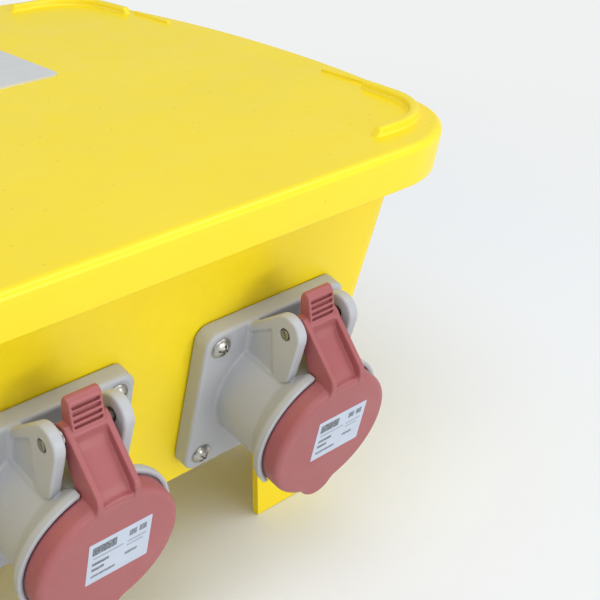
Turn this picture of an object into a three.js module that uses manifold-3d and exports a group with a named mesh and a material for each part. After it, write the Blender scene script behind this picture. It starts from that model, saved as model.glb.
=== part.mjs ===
// Portable power distribution box: a moulded tub on four corner feet with an
// overhanging lid, three flanged industrial outlets with sprung flip caps on
// the front, a hinged clear window over the breakers at the back, and a gland
// with a supply lead on the left end.
// Millimetres. +Z up, +X along the box, front is -Y. Origin: on the floor,
// under the middle of the whole object with its lead and plug.
import * as THREE from 'three';
import { mergeVertices } from 'three/addons/utils/BufferGeometryUtils.js';
import Module from 'manifold-3d';

const wasm = await Module();
wasm.setup();

// ------------------------------------------------------- shared dimensions
const GAP = 0.3;                  // clearance between neighbouring pieces
const TUB_X = 21.54;              // where the middle of the tub stands
const TUB_Y = -8.43;

// tub: front and back faces and both ends lean in towards the floor
const FACE_TILT = 0.2562906;      // radians
const FACE_Y = 129.5;             // face distance from the middle at FACE_Z
const FACE_Z = 94.8;              // height of the outlet centres
const BODY_END = 180.8;           // half length of the tub at END_REF_Z
const END_REF_Z = 159.5;
const END_DRAFT = 0.068;          // growth in half length per mm of height
const BODY_BOTTOM = 44.2;
const BODY_TOP = 178;
const BODY_WALL = 4;
const BODY_CORNER = 14;

const LID_TOP = 186.9;
const LID_WALL = 4;

const faceY = z => FACE_Y + Math.tan(FACE_TILT) * (z - FACE_Z);
const endX = z => BODY_END + END_DRAFT * (z - END_REF_Z);

// lugs on the tub ends that take the lid screws
const LUG_Y = 92;
const LUG_Z0 = 166;
const LUG_Z1 = 172;
const LUG_HOLE_X = endX(LUG_Z0) + 8;

const OUTLET_PITCH = 110.3;
const HOLE_OFFSET = 30;           // flange screws from the outlet centre, both ways
const WIN_HALF_U = 128;           // clear opening over the breakers
const WIN_HALF_V = 27;
const GLAND_Z = 92;
const GLAND_R = 12.5;

// signs [x, y] of the four corners
const CORNERS = [[-1, -1], [1, -1], [-1, 1], [1, 1]];

// --------------------------------------------------------------- materials
const YELLOW = { color: 0xf2dc26, roughness: 0.45 };
const GREY = { color: 0xb9bfc6, roughness: 0.5 };
const RED = { color: 0xb56a6c, roughness: 0.55 };
const RUBBER = { color: 0x2b2b2c, roughness: 0.85 };
const STEEL = { color: 0xb8b8b4, roughness: 0.3, metalness: 1 };
const WHITE = { color: 0xe8e8e4, roughness: 0.5 };
const BLACK = { color: 0x1d1d1f, roughness: 0.6 };
const WINDOW_GREY = { color: 0x3c4046, roughness: 0.6 };
const CLEAR = { color: 0xd8dee0, roughness: 0.1, transparent: true, opacity: 0.4 };
const LEVER_GREY = { color: 0x2c3036, roughness: 0.5 };
const BUTTON_YELLOW = { color: 0xd8b020, roughness: 0.5 };
const GLAND_GREY = { color: 0x303236, roughness: 0.6 };

// ------------------------------------------------------ solids and meshes
function solid(source) {
  const bare = source.clone();
  bare.deleteAttribute('normal');
  bare.deleteAttribute('uv');
  const merged = mergeVertices(bare, 1e-4);
  const verts = new Float32Array(merged.attributes.position.array);
  const tris = new Uint32Array(merged.index.array);
  // turn the surface the right way out if its signed volume is negative
  const corners = [new THREE.Vector3(), new THREE.Vector3(), new THREE.Vector3()];
  let volume = 0;
  for (let i = 0; i < tris.length; i += 3) {
    corners.forEach((corner, k) => corner.fromArray(verts, tris[i + k] * 3));
    volume += corners[0].dot(corners[1].cross(corners[2]));
  }
  if (volume < 0) {
    for (let i = 0; i < tris.length; i += 3) {
      [tris[i], tris[i + 1]] = [tris[i + 1], tris[i]];
    }
  }
  return new wasm.Manifold(new wasm.Mesh({
    numProp: 3, vertProperties: verts, triVerts: tris }));
}

function geometry(body) {
  const { vertProperties, triVerts } = body.getMesh();
  const result = new THREE.BufferGeometry();
  result.setAttribute('position',
    new THREE.BufferAttribute(new Float32Array(vertProperties), 3));
  result.setIndex(new THREE.BufferAttribute(new Uint32Array(triVerts), 1));
  result.computeVertexNormals();
  return result;
}

const product = new THREE.Group();

function mesh(name, body, finish, parent = product) {
  const result = new THREE.Mesh(geometry(body), new THREE.MeshStandardMaterial(finish));
  result.name = name;
  parent.add(result);
  return result;
}

const add = (first, ...others) => others.reduce((sum, other) => sum.add(other), first);
const cut = (first, ...others) => others.reduce((rest, other) => rest.subtract(other), first);

// ---------------------------------------------------------------- outlines
// The two numbers in rising order, for pieces repeated on either side.
const span = (a, b) => [Math.min(a, b), Math.max(a, b)];

const mirrored = (points, signX, signY) => points.map(([x, y]) => [x * signX, y * signY]);

function polar(radius, degrees) {
  const angle = degrees * Math.PI / 180;
  return [radius * Math.cos(angle), radius * Math.sin(angle)];
}

// Points on an arc, both ends included.
function arc(x, y, radius, from, to, segments) {
  return Array.from({ length: segments + 1 }, (_, i) => {
    const angle = from + (to - from) * i / segments;
    return [x + radius * Math.cos(angle), y + radius * Math.sin(angle)];
  });
}

function roundedOutline(halfX, halfY, radius, segments) {
  const x = halfX - radius;
  const y = halfY - radius;
  const quarter = Math.PI / 2;
  return [[x, y], [-x, y], [-x, -y], [x, -y]].flatMap(([cx, cy], k) =>
    arc(cx, cy, radius, k * quarter, (k + 1) * quarter, segments));
}

// Rounded outline whose two ends bulge along X on arcs of radius `bow`.
function bowedOutline(halfX, halfY, radius, segments, bow) {
  const bowX = halfX - bow;
  const cornerY = halfY - radius;
  const cornerX = bowX + Math.sqrt((bow - radius) ** 2 - cornerY ** 2);
  const tangent = Math.asin(cornerY / (bow - radius));    // where bow meets corner
  // 0.999 keeps the last bow point clear of the corner arc
  const quadrant = [
    ...arc(bowX, 0, bow, 0, tangent * 0.999, 6).slice(1),
    ...arc(cornerX, cornerY, radius, tangent, Math.PI / 2, segments).slice(1)];
  const reversed = [...quadrant].reverse();
  return [
    ...quadrant, ...mirrored(reversed, -1, 1),
    ...mirrored(quadrant, -1, -1), ...mirrored(reversed, 1, -1)];
}

// Axes laid on the edge from start to end: (along, outward) to a point.
function edgeFrame([x0, y0], [x1, y1]) {
  const length = Math.hypot(x1 - x0, y1 - y0);
  const tx = (x1 - x0) / length;
  const ty = (y1 - y0) / length;
  return (along, outward) =>
    [x0 + tx * along - ty * outward, y0 + ty * along + tx * outward];
}

// ------------------------------------------------------------ basic solids
function box(x0, x1, y0, y1, z0, z1) {
  const block = new THREE.BoxGeometry(x1 - x0, y1 - y0, z1 - z0);
  block.translate((x0 + x1) / 2, (y0 + y1) / 2, (z0 + z1) / 2);
  return solid(block);
}

function cylinder(radius, z0, z1, segments, x = 0, y = 0) {
  const bar = new THREE.CylinderGeometry(radius, radius, z1 - z0, segments);
  bar.rotateX(Math.PI / 2);
  bar.translate(x, y, (z0 + z1) / 2);
  return solid(bar);
}

// Round bar along local X.
function rodX(radius, x0, x1, y, z, segments) {
  const bar = new THREE.CylinderGeometry(radius, radius, x1 - x0, segments);
  bar.rotateZ(Math.PI / 2);
  bar.translate((x0 + x1) / 2, y, z);
  return solid(bar);
}

// Shape turned about local Z from [radius, z] points.
function turned(profile, segments) {
  const offAxis = profile[0][0] > 0 || profile.at(-1)[0] > 0;
  const points = offAxis ? [...profile, profile[0]] : profile;
  const lathe = new THREE.LatheGeometry(
    points.map(([radius, z]) => new THREE.Vector2(radius, z)), segments);
  lathe.rotateX(Math.PI / 2);
  return solid(lathe);
}

function extrusion(points, options) {
  const shape = new THREE.Shape(points.map(([x, y]) => new THREE.Vector2(x, y)));
  return new THREE.ExtrudeGeometry(shape, { bevelEnabled: false, ...options });
}

// One outline at several heights: levels are [z, dx, dy], with the outline
// pushed out by dx, dy on each side; dy is dx if left out.
function stack(points, levels) {
  const steps = levels.length - 1;
  const block = extrusion(points, { depth: steps, steps });
  const position = block.attributes.position;
  for (let i = 0; i < position.count; i++) {
    const [z, dx, dy = dx] = levels[Math.round(position.getZ(i))];
    const x = position.getX(i);
    const y = position.getY(i);
    position.setXYZ(i, x + Math.sign(x) * dx, y + Math.sign(y) * dy, z);
  }
  return solid(block);
}

function plate(points, z0, z1) {
  const block = extrusion(points, { depth: z1 - z0 });
  block.translate(0, 0, z0);
  return solid(block);
}

// Plate from [y, z] points, swept from x0 to x1.
function plateX(points, x0, x1) {
  const block = extrusion(points, { depth: x1 - x0 });
  block.applyMatrix4(new THREE.Matrix4().set(
    0, 0, 1, x0,
    1, 0, 0, 0,
    0, 1, 0, 0,
    0, 0, 0, 1));
  return solid(block);
}

// ------------------------------------------------------------- face frames
// Face frame: x along the face, y up the face, z out of the face.
function faceFrame(x, back = false) {
  const turn = new THREE.Group();
  if (back) turn.rotation.z = Math.PI;
  const frame = new THREE.Group();
  frame.position.set(x, -FACE_Y, FACE_Z);
  frame.rotation.x = Math.PI / 2 + FACE_TILT;
  turn.add(frame);
  product.add(turn);
  turn.updateMatrixWorld(true);
  return frame;
}

const toBox = (body, frame) => body.transform(frame.matrixWorld.elements);

const outletFrames = [-OUTLET_PITCH, 0, OUTLET_PITCH].map(x => faceFrame(x));
const backFrame = faceFrame(0, true);

const flangeHoles = (radius, z0, z1, segments) => CORNERS.map(([sx, sy]) =>
  cylinder(radius, z0, z1, segments, sx * HOLE_OFFSET, sy * HOLE_OFFSET));

// --------------------------------------------------------------------- tub
// Block that follows the tub's plan. Levels are [z, insetX, insetY, planZ]:
// planZ is the height whose plan is taken, z itself if left out.
function tubBlock(corner, segments, levels) {
  const baseX = 150;              // any outline smaller than the tub will do
  const baseY = 100;
  return stack(roundedOutline(baseX, baseY, corner, segments),
    levels.map(([z, insetX, insetY = insetX, planZ = z]) =>
      [z, endX(planZ) - baseX - insetX, faceY(planZ) - baseY - insetY]));
}

// Corner foot: two walls at an angle with a rounded outer corner.
function foot(signX, signY) {
  const length = 47;
  const depth = 46;
  const wall = 3.6;
  const corner = 11;
  const x = endX(BODY_BOTTOM) - 1;
  const y = faceY(BODY_BOTTOM) - 0.7;
  const bend = radius => arc(x - corner, y - corner, radius, 0, Math.PI / 2, 4);
  const outline = [
    [x, y - depth], ...bend(corner), [x - length, y],
    [x - length, y - wall], ...bend(corner - wall).reverse(), [x - wall, y - depth]];
  return plate(mirrored(outline, signX, signY), 0, BODY_BOTTOM + 2);
}

function lug(signX, signY) {
  const x = endX(LUG_Z0);
  const y = signY * LUG_Y;
  return cut(
    box(...span(signX * (x - 2), signX * (x + 16)), y - 9, y + 9, LUG_Z0, LUG_Z1),
    cylinder(2.6, LUG_Z0 - 1, LUG_Z1 + 1, 12, signX * LUG_HOLE_X, y));
}

function bodyTub() {
  const through = 12;             // reach of the face cutters either side of the face
  const bottomEdge = BODY_BOTTOM + 2.6;
  const outer = tubBlock(BODY_CORNER, 4, [
    [BODY_BOTTOM, 2.5, 2.2], [bottomEdge, 0], [BODY_TOP, 0]]);
  const inner = tubBlock(BODY_CORNER - BODY_WALL, 3, [
    [BODY_BOTTOM + BODY_WALL, BODY_WALL], [BODY_TOP + 4, BODY_WALL]]);
  const outletCutters = [
    cylinder(27.6, -through, through, 24), ...flangeHoles(2.5, -through, through, 6)];
  const windowU = WIN_HALF_U + 4;
  const windowV = WIN_HALF_V + 4;
  const windowCutter = box(-windowU, windowU, -windowV, windowV, -through, through);
  const glandCutter = cylinder(GLAND_R + 0.4, -20, 20, 20)
    .rotate([0, 90, 0]).translate([-endX(GLAND_Z), 0, GLAND_Z]);
  return cut(
    add(outer,
      ...CORNERS.map(([sx, sy]) => foot(sx, sy)),
      ...CORNERS.map(([sx, sy]) => lug(sx, sy))),
    inner,
    ...outletFrames.flatMap(frame => outletCutters.map(cutter => toBox(cutter, frame))),
    toBox(windowCutter, backFrame),
    glandCutter);
}

mesh('body_tub', bodyTub(), YELLOW);

// --------------------------------------------------------------------- lid
function lidShell() {
  const halfLength = 234;
  const halfDepth = 160;
  const corner = 48;
  const bow = 569;                // radius of the bowed lid ends
  const skirt = 167.4;            // height of the lower edge
  const draftX = -3;              // the skirt draws in towards its lower edge
  const draftY = -2.5;
  const outer = stack(bowedOutline(halfLength, halfDepth, corner, 8, bow), [
    [skirt, draftX, draftY], [LID_TOP - 3.6, 0], [LID_TOP - 1.6, -0.8],
    [LID_TOP - 0.5, -2], [LID_TOP, -3.8]]);
  const inner = stack(
    bowedOutline(halfLength - LID_WALL, halfDepth - LID_WALL, corner - LID_WALL, 5,
      bow - LID_WALL),
    [[skirt - 1, draftX, draftY], [LID_TOP - LID_WALL, 0]]);
  return outer.subtract(inner);
}

// Outline of one stacking rib: a short leg along X, a bend and a long leg
// that runs towards the middle, turned slightly outwards.
function ribOutline() {
  const width = 3.9;
  const legTurn = 0.06;           // radians
  const legEndY = 92.5;
  const startX = 171.3;
  const y = 142.75 - width / 2;   // centreline of the short leg
  const bendX = 183.2;
  const bendR = 31.2;
  const path = [[startX, y],
    ...arc(bendX, y - bendR, bendR, Math.PI / 2, legTurn, 8)];
  const [x1, y1] = path.at(-1);
  path.push([x1 + Math.tan(legTurn) * (y1 - legEndY), legEndY]);
  const offset = distance => path.map(([x, y], i) => {
    const before = path[Math.max(0, i - 1)];
    const after = path[Math.min(path.length - 1, i + 1)];
    const dx = after[0] - before[0];
    const dy = after[1] - before[1];
    const length = Math.hypot(dx, dy);
    return [x - dy / length * distance, y + dx / length * distance];
  });
  return [...offset(width / 2), ...offset(-width / 2).reverse()];
}

// Wall on the underside of the lid, just inside the tub rim.
function locatingWall() {
  const bottom = BODY_TOP - 8;
  return cut(
    tubBlock(9, 3, [[bottom, 4.6, 4.8, bottom], [LID_TOP - 2, 4.6, 4.8, bottom]]),
    tubBlock(7, 3, [
      [bottom - 1, 7.2, 7.4, bottom], [LID_TOP - LID_WALL, 7.2, 7.4, bottom]]));
}

function lid() {
  const sunk = LID_TOP - 2;       // parts joined to the lid reach this far into its top
  const ribHeight = 3.6;
  const ledgeHeight = 1.6;
  const outline = ribOutline();
  let body = lidShell();
  for (const [sx, sy] of CORNERS) {
    const x = sx * LUG_HOLE_X;
    const y = sy * LUG_Y;
    const rib = plate(mirrored(outline, sx, sy), sunk, LID_TOP + ribHeight);
    // low ledge near the inward end of the rib's long leg
    const ledge = box(...span(sx * 218.6, sx * 220.8), ...span(sy * 60, sy * 90),
      sunk, LID_TOP + ledgeHeight);
    const boss = cylinder(6, LUG_Z1 + GAP, sunk, 14, x, y);
    const bossHole = cylinder(2.3, LUG_Z1 - 1, LID_TOP - LID_WALL - 0.5, 10, x, y);
    body = add(body, rib, ledge, boss).subtract(bossHole);
  }
  return body.add(locatingWall());
}

// Seal between the tub rim and the lid.
function lidSeal() {
  const z0 = BODY_TOP + GAP;
  const z1 = LID_TOP - LID_WALL - GAP;
  const outside = 0.3;            // insets from the tub's outer plan
  const inside = 3.2;
  return cut(
    tubBlock(BODY_CORNER, 3, [
      [z0, outside, outside, BODY_TOP], [z1, outside, outside, BODY_TOP]]),
    tubBlock(BODY_CORNER - 3, 3, [
      [z0 - 1, inside, inside, BODY_TOP], [z1 + 1, inside, inside, BODY_TOP]]));
}

function ratingPlate() {
  const z0 = LID_TOP + GAP;
  return stack(roundedOutline(122, 28, 4, 3), [[z0, 0], [z0 + 1, 0], [z0 + 1.3, -0.3]])
    .translate([0, 48, 0]);
}

const LID_SCREW_HEAD = 2.6;       // head height

function lidScrew() {
  const shank = 1.95;
  const head = 4.3;
  return turned([
    [0, 0], [head, 0.8], [head, LID_SCREW_HEAD], [shank, LID_SCREW_HEAD],
    [shank, 15], [0, 16]], 10);
}

mesh('lid', lid(), YELLOW);
mesh('lid_seal', lidSeal(), RUBBER);
mesh('rating_plate', ratingPlate(), WHITE);
// screws driven up from below through the lugs
CORNERS.forEach(([sx, sy], i) => {
  mesh(`lid_screw_${i + 1}`, lidScrew(), STEEL)
    .position.set(sx * LUG_HOLE_X, sy * LUG_Y, LUG_Z0 - GAP - LID_SCREW_HEAD);
});

// ----------------------------------------------------------------- outlets
// All in the face frame; plateX tables are [up the face, out of the face].
const FLANGE = 38;                // half width of the square flange
const FLANGE_CORNER = 6.5;
const FLANGE_FRONT = 8.4;
const RECESS_DEPTH = 1.8;         // gasket recess behind the flange
const RECESS_INSET = 1.4;
const NECK_R = 27.4;
const NECK_FRONT = 43.2;
const CAP_R = 29.8;
const CAP_FACE = 50.2;
const CAP_BACK = 41.4;
const CAP_BORE = 27.6;
const PIN_V = 45.1;               // cap hinge axis
const PIN_W = 27.2;
const PIN_R = 2.1;
const EAR_IN = 11.7;              // hinge ears, from the outlet's middle plane
const EAR_OUT = 16.5;
const ARM_HALF = 9;               // half width of the cap arm

// Collar round the cap, in two wings open at top and bottom.
function collar() {
  const radius = 32.6;
  const bore = 30.4;
  const front = 42;
  return cut(
    turned([
      [23, 31], [NECK_R - 0.6, 31], [28.3, 33.4], [30.2, 36], [32, 38.2],
      [radius, 39.2], [radius, front], [bore, front], [bore, 40.4], [23, 40.4]], 40),
    box(-9.7, 9.7, 0, 60, 20, 60),
    box(-60, 60, -60, -20, 20, 60));
}

// Hinge ear with a shallow pocket in its outer side.
function hingeEar(side) {
  const outline = [
    [20.8, 7], [35.2, 7],
    ...arc(PIN_V, PIN_W, 8, -0.75, 1.62, 6),     // head round the hinge axis
    [25.6, 34.2], [24.4, 33.2], [20.8, 29.4]];
  const pocket = [[23.4, 9.4], [33.6, 9.4], [42.7, 20.2], [28.6, 23.9], [23.4, 25.2]];
  return cut(
    plateX(outline, ...span(side * EAR_IN, side * EAR_OUT)),
    plateX(pocket, ...span(side * (EAR_OUT - 0.8), side * (EAR_OUT + 1))));
}

function outletHousing() {
  const flange = stack(roundedOutline(FLANGE, FLANGE, FLANGE_CORNER, 4), [
    [GAP, 0], [FLANGE_FRONT - 2, 0], [FLANGE_FRONT - 0.6, -0.6], [FLANGE_FRONT, -2]]);
  const neck = turned([
    [0, -18], [27, -18], [27, 4], [31, 4], [31, FLANGE_FRONT],
    [28.6, FLANGE_FRONT + 0.9], [NECK_R, FLANGE_FRONT + 3], [NECK_R - 0.3, 31],
    [27.1, 39.6], [26.4, 40.4], [26.4, NECK_FRONT], [0, NECK_FRONT]], 32);
  const recessHalf = FLANGE - RECESS_INSET;
  const recess = cut(
    plate(roundedOutline(recessHalf, recessHalf, FLANGE_CORNER - RECESS_INSET, 3),
      -1, RECESS_DEPTH),
    cylinder(27, -20, 6, 32));
  return cut(
    add(flange.add(neck).subtract(recess), collar(), hingeEar(-1), hingeEar(1)),
    cylinder(24.5, -30, 60, 32),
    rodX(PIN_R + 0.35, -30, 30, PIN_V, PIN_W, 12),
    ...flangeHoles(2.4, -5, 20, 8));
}

// Arm from the disc up and back to the hinge, and its outer sloping edge.
const ARM_EDGE = [[34.4, 49.8], [50.3, 28.6]];
const ARM = [
  [26.4, 46], [26.4, 50.8], [31.6, 51.2], ...ARM_EDGE, [49.6, 25.6],
  [45.1, 24.6], [38.4, 31.6], [29.4, 37], [27.9, CAP_BACK + 0.6]];
// The first edge of the thumb tab carries its grip.
const TAB = [
  [48.6, 31.4], [58.6, 27.2], [59.9, 25.6], [59.6, 23.6], [57.4, 22.7], [48.8, 24.6]];

// Sunken channel between the side rails of the arm, kept off the disc.
function armChannel() {
  const [start, end] = ARM_EDGE;
  const length = Math.hypot(end[0] - start[0], end[1] - start[1]);
  const onArm = edgeFrame(start, end);
  const outline = [
    [length - 3.4, 2], [length - 3.4, -1.6], [length - 6, -3.2], [3, -3.6],
    [-1.5, -4.6], [-12, -1], [-12, 6], [0, 6],
  ].map(([along, outward]) => onArm(along, outward));
  return cut(plateX(outline, -6, 6), box(-40, 40, -60, 30.2, 0, CAP_FACE + 0.02));
}

function cap() {
  const disc = turned([
    [0, CAP_BACK], [CAP_R, CAP_BACK], [CAP_R, 47.4], [CAP_R - 0.7, 49.3],
    [CAP_R - 2.2, CAP_FACE], [0, CAP_FACE]], 36);
  // keyway bulge at the bottom of the rim
  const bulge = turned([
    [0, CAP_BACK], [9, CAP_BACK], [9, 46.6], [8.2, 48.2], [6.8, 49], [0, 49]], 16)
    .translate([0, -25.8, 0]);
  const arm = plateX(ARM, -ARM_HALF, ARM_HALF);
  const knuckle = rodX(4.9, -ARM_HALF, ARM_HALF, PIN_V, PIN_W, 18);
  let body = add(disc, bulge, arm, knuckle).subtract(armChannel());

  // thumb tab with three grip bars in a recess
  const onTab = edgeFrame(TAB[0], TAB[1]);
  const tabBlock = (along0, along1, top, bottom, half) => plateX([
    onTab(along0, top), onTab(along1, top), onTab(along1, bottom), onTab(along0, bottom),
  ], -half, half);
  body = body.add(plateX(TAB, -6.8, 6.8)).subtract(tabBlock(1.8, 9.4, 1, -1, 5));
  const grips = [3.3, 5.6, 7.9].map(along =>
    tabBlock(along - 0.45, along + 0.45, -0.05, -1.5, 5.4));

  const hollow = turned([
    [0, CAP_BACK - 1], [CAP_BORE, CAP_BACK - 1], [CAP_BORE, 45.8],
    [CAP_BORE - 1, 46.8], [0, 46.8]], 32);
  return cut(add(body, ...grips), hollow,
    rodX(PIN_R + 0.4, -30, 30, PIN_V, PIN_W, 12));
}

function contactInsert() {
  const core = turned([
    [0, -16], [24.1, -16], [24.1, -6], [20.8, -5], [20.8, 29.2], [20, 30], [0, 30]], 20);
  // [degrees round the insert, hole radius]
  const holes = [[-90, 3.4], [0, 2.7], [90, 2.7], [180, 2.7]].map(([degrees, radius]) =>
    cylinder(radius, 4, 31, 8, ...polar(12.5, degrees)));
  return cut(core, ...holes, box(-2.2, 2.2, 18.6, 23, -4, 31));
}

function flangeScrew() {
  const head = 4.8;
  const shank = 1.9;
  return turned([
    [0, -11.4], [shank, -10], [shank, 0], [head, 0], [head, 1], [head * 0.8, 2.3],
    [0, 2.9]], 12);
}

function flangeGasket() {
  const inset = RECESS_INSET + GAP;
  const outline = roundedOutline(FLANGE - inset, FLANGE - inset, FLANGE_CORNER - inset, 3);
  return cut(plate(outline, GAP, RECESS_DEPTH - GAP),
    cylinder(27.6, -2, 6, 24), ...flangeHoles(2.6, -2, 6, 6));
}

function capSeal() {
  const outer = CAP_BORE - 0.35;
  const back = NECK_FRONT + GAP;
  return turned([
    [23.8, back], [outer, back], [outer, 45.4], [CAP_BORE - 1.3, 45.9], [23.8, 45.9]], 24);
}

// Cap hinge pin with a slot across its left end.
function capHingePin() {
  const half = EAR_OUT + 0.1;
  return cut(rodX(PIN_R, -half, half, PIN_V, PIN_W, 12),
    box(-EAR_OUT - 1, -EAR_OUT + 0.7, PIN_V - 3, PIN_V + 3, PIN_W - 0.35, PIN_W + 0.35));
}

// Spring as a sleeve between the left ear and the arm.
function capSpring() {
  return cut(rodX(4.4, -EAR_IN + GAP, -ARM_HALF - GAP, PIN_V, PIN_W, 14),
    rodX(2.7, -16, -8, PIN_V, PIN_W, 14));
}

const OUTLET_PARTS = [
  ['outlet_housing', outletHousing(), GREY],
  ['flange_gasket', flangeGasket(), RUBBER],
  ['contact_insert', contactInsert(), BLACK],
  ['cap', cap(), RED],
  ['cap_seal', capSeal(), RUBBER],
  ['cap_hinge_pin', capHingePin(), STEEL],
  ['cap_spring', capSpring(), STEEL],
];
['left', 'middle', 'right'].forEach((place, i) => {
  const frame = outletFrames[i];
  for (const [part, body, finish] of OUTLET_PARTS) {
    mesh(`${part}_${place}`, body, finish, frame);
  }
  // numbered from the top row down
  CORNERS.forEach(([sx, sy], k) => {
    const screw = mesh(`flange_screw_${place}_${k + 1}`, flangeScrew(), STEEL, frame);
    screw.position.set(sx * HOLE_OFFSET, -sy * HOLE_OFFSET, FLANGE_FRONT + GAP);
    screw.rotation.z = 1.35 + k * 0.5;           // each head stopped at its own angle
  });
});

// ------------------------------------------------ breaker window at the back
const WIN_PIN_V = WIN_HALF_V + 7;                // hinge axis
const WIN_PIN_W = 9.6;
const windowRod = (radius, half, segments) =>
  rodX(radius, -half, half, WIN_PIN_V, WIN_PIN_W, segments);
const windowPinBore = () => windowRod(1.9, WIN_HALF_U + 20, 12);
const windowOutline = (margin, corner, segments) =>
  roundedOutline(WIN_HALF_U + margin, WIN_HALF_V + margin, corner, segments);

function windowFrame() {
  const rim = stack(windowOutline(14, 8, 4), [
    [GAP, 0], [4.4, 0], [5.6, -0.6], [6, -1.6]]);
  const sleeve = plate(windowOutline(3.5, 3, 2), -5.5, 3);
  const opening = plate(windowOutline(0, 2, 2), -20, 20);
  // two hinge posts at the top
  const post = [[3, 4], [11, 4], [11, 11], [9.5, 13], [4.5, 13], [3, 11]]
    .map(([v, w]) => [WIN_HALF_V + v, w]);
  const posts = [-1, 1].map(side =>
    plateX(post, ...span(side * (WIN_HALF_U + 3.2), side * (WIN_HALF_U + 8.2))));
  return add(rim.add(sleeve).subtract(opening), ...posts).subtract(windowPinBore());
}

function windowFlap() {
  const back = 6.4;               // inner side of the pane
  const front = back + 2.8;
  const pane = stack(roundedOutline(WIN_HALF_U + 9, WIN_HALF_V + 4.5, 5, 3), [
    [back, 0], [back + 2.2, 0], [front, -0.6]]).translate([0, -3.8, 0]);
  const hingeStrip = box(
    -WIN_HALF_U + 2, WIN_HALF_U - 2, WIN_HALF_V - 1, WIN_PIN_V, back, front);
  const knuckle = windowRod(3.2, WIN_HALF_U + 2.4, 14);
  const fingerLip = plateX([
    [-WIN_HALF_V - 8, back], [-WIN_HALF_V - 8, back + 5],
    [-WIN_HALF_V - 5.4, back + 5], [-WIN_HALF_V - 5, back]], -14, 14);
  return add(pane, hingeStrip, knuckle, fingerLip).subtract(windowPinBore());
}

mesh('window_frame', windowFrame(), WINDOW_GREY, backFrame);
mesh('window_flap', windowFlap(), CLEAR, backFrame);
mesh('window_hinge_pin', windowRod(1.5, WIN_HALF_U + 8, 12), STEEL, backFrame);

// -------------------------------------------------- breakers on their rail
// Tables here are [up the face, out from the back of the rail].
const RAIL_W = -66;               // back of the rail, behind the back face
const RAIL_HALF = 126;
const MODULE = 17.5;              // width of one breaker module
const LEVER_AXIS = 54;            // out from the back of the rail
const BUTTON_U = 14;              // test button from the middle of the rcd
const RAIL = [
  [-17.5, 6.3], [-17.5, 7.5], [-12.5, 7.5], [-12.5, 1.2], [12.5, 1.2], [12.5, 7.5],
  [17.5, 7.5], [17.5, 6.3], [13.7, 6.3], [13.7, 0], [-13.7, 0], [-13.7, 6.3]];
const BRACKET = [
  [18, -GAP], [-15, -GAP], [-36.5, 8], [-36.5, -14], [-30, -4], [18, -3.5]];
const BREAKER = [
  [-42, 9], [-42, 47], [-40.5, 48], [-23.5, 48], [-22.5, 60], [22.5, 60],
  [23.5, 48], [40.5, 48], [42, 47], [42, 9], [18.6, 9], [18.6, 5.8],
  [18.2, 5.8], [17.9, 7.9], [-17.9, 7.9], [-18.2, 5.8], [-18.6, 5.8], [-18.6, 9]];
const LEVER_SLOT = [[-9.5, 50], [-9.5, 62], [9.5, 62], [9.5, 50], [7, 46.5], [-7, 46.5]];
// [across the handle, out from the lever axis], before it is tilted
const HANDLE = [[-2.6, 2], [-2.2, 13.2], [-1.2, 14], [1.2, 14], [2.2, 13.2], [2.6, 2]];

const railPlate = (points, x0, x1) =>
  plateX(points.map(([v, w]) => [v, RAIL_W + w]), x0, x1);

function breakerBody(width, leverHalf, leverU) {
  const slotHalf = leverHalf + 0.5;
  return cut(railPlate(BREAKER, -width / 2, width / 2),
    railPlate(LEVER_SLOT, leverU - slotHalf, leverU + slotHalf));
}

// Knuckle across the poles with a tilted handle; the lever rocks about x.
function lever(half) {
  const tilt = 0.58;              // radians
  const cos = Math.cos(tilt);
  const sin = Math.sin(tilt);
  const handle = HANDLE.map(([y, z]) => [y * cos + z * sin, LEVER_AXIS - y * sin + z * cos]);
  return add(rodX(6.2, -half, half, 0, RAIL_W + LEVER_AXIS, 18),
    railPlate(handle, -half, half));
}

function testButton() {
  return stack(roundedOutline(4.5, 4.5, 1.2, 2), [
    [RAIL_W + 54.6, 0], [RAIL_W + 61.4, 0], [RAIL_W + 62, -0.5]]);
}

mesh('din_rail', railPlate(RAIL, -RAIL_HALF, RAIL_HALF), STEEL, backFrame);
// brackets at the ends of the rail; frame +x is the box's left
for (const [place, side] of [['left', 1], ['right', -1]]) {
  const ends = span(side * (RAIL_HALF - 1.5), side * (RAIL_HALF + 8));
  mesh(`rail_bracket_${place}`, railPlate(BRACKET, ...ends), STEEL, backFrame);
}

// name, width in modules, lever half width, lever offset from the unit's middle
const UNITS = [
  ['rcd', 4, 8, -16],
  ['breaker_1', 3, 21, 0],
  ['breaker_2', 3, 21, 0],
  ['breaker_3', 3, 21, 0],
];
const totalModules = UNITS.reduce((sum, [, modules]) => sum + modules, 0);
let unitEdge = (totalModules * MODULE + UNITS.length * GAP) / 2;
for (const [name, modules, leverHalf, leverU] of UNITS) {
  const pitch = modules * MODULE;
  const middle = unitEdge - pitch / 2;
  const hasButton = name === 'rcd';
  let body = breakerBody(pitch - 0.6, leverHalf, leverU);
  if (hasButton) {
    body = body.subtract(
      box(BUTTON_U - 5, BUTTON_U + 5, -5, 5, RAIL_W + 52, RAIL_W + 62));
  }
  mesh(`${name}_body`, body, WHITE, backFrame).position.x = middle;
  mesh(`${name}_lever`, lever(leverHalf), LEVER_GREY, backFrame)
    .position.x = middle + leverU;
  if (hasButton) {
    mesh('rcd_test_button', testButton(), BUTTON_YELLOW, backFrame)
      .position.x = middle + BUTTON_U;
  }
  unitEdge -= pitch + GAP;
}

// ------------------------------------------------------- supply lead, gland
const LEFT_END = -endX(GLAND_Z);
const LEAD_R = 8;
const PLUG_X = LEFT_END - 71;
const GLAND_BORE = 8.6;
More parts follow.
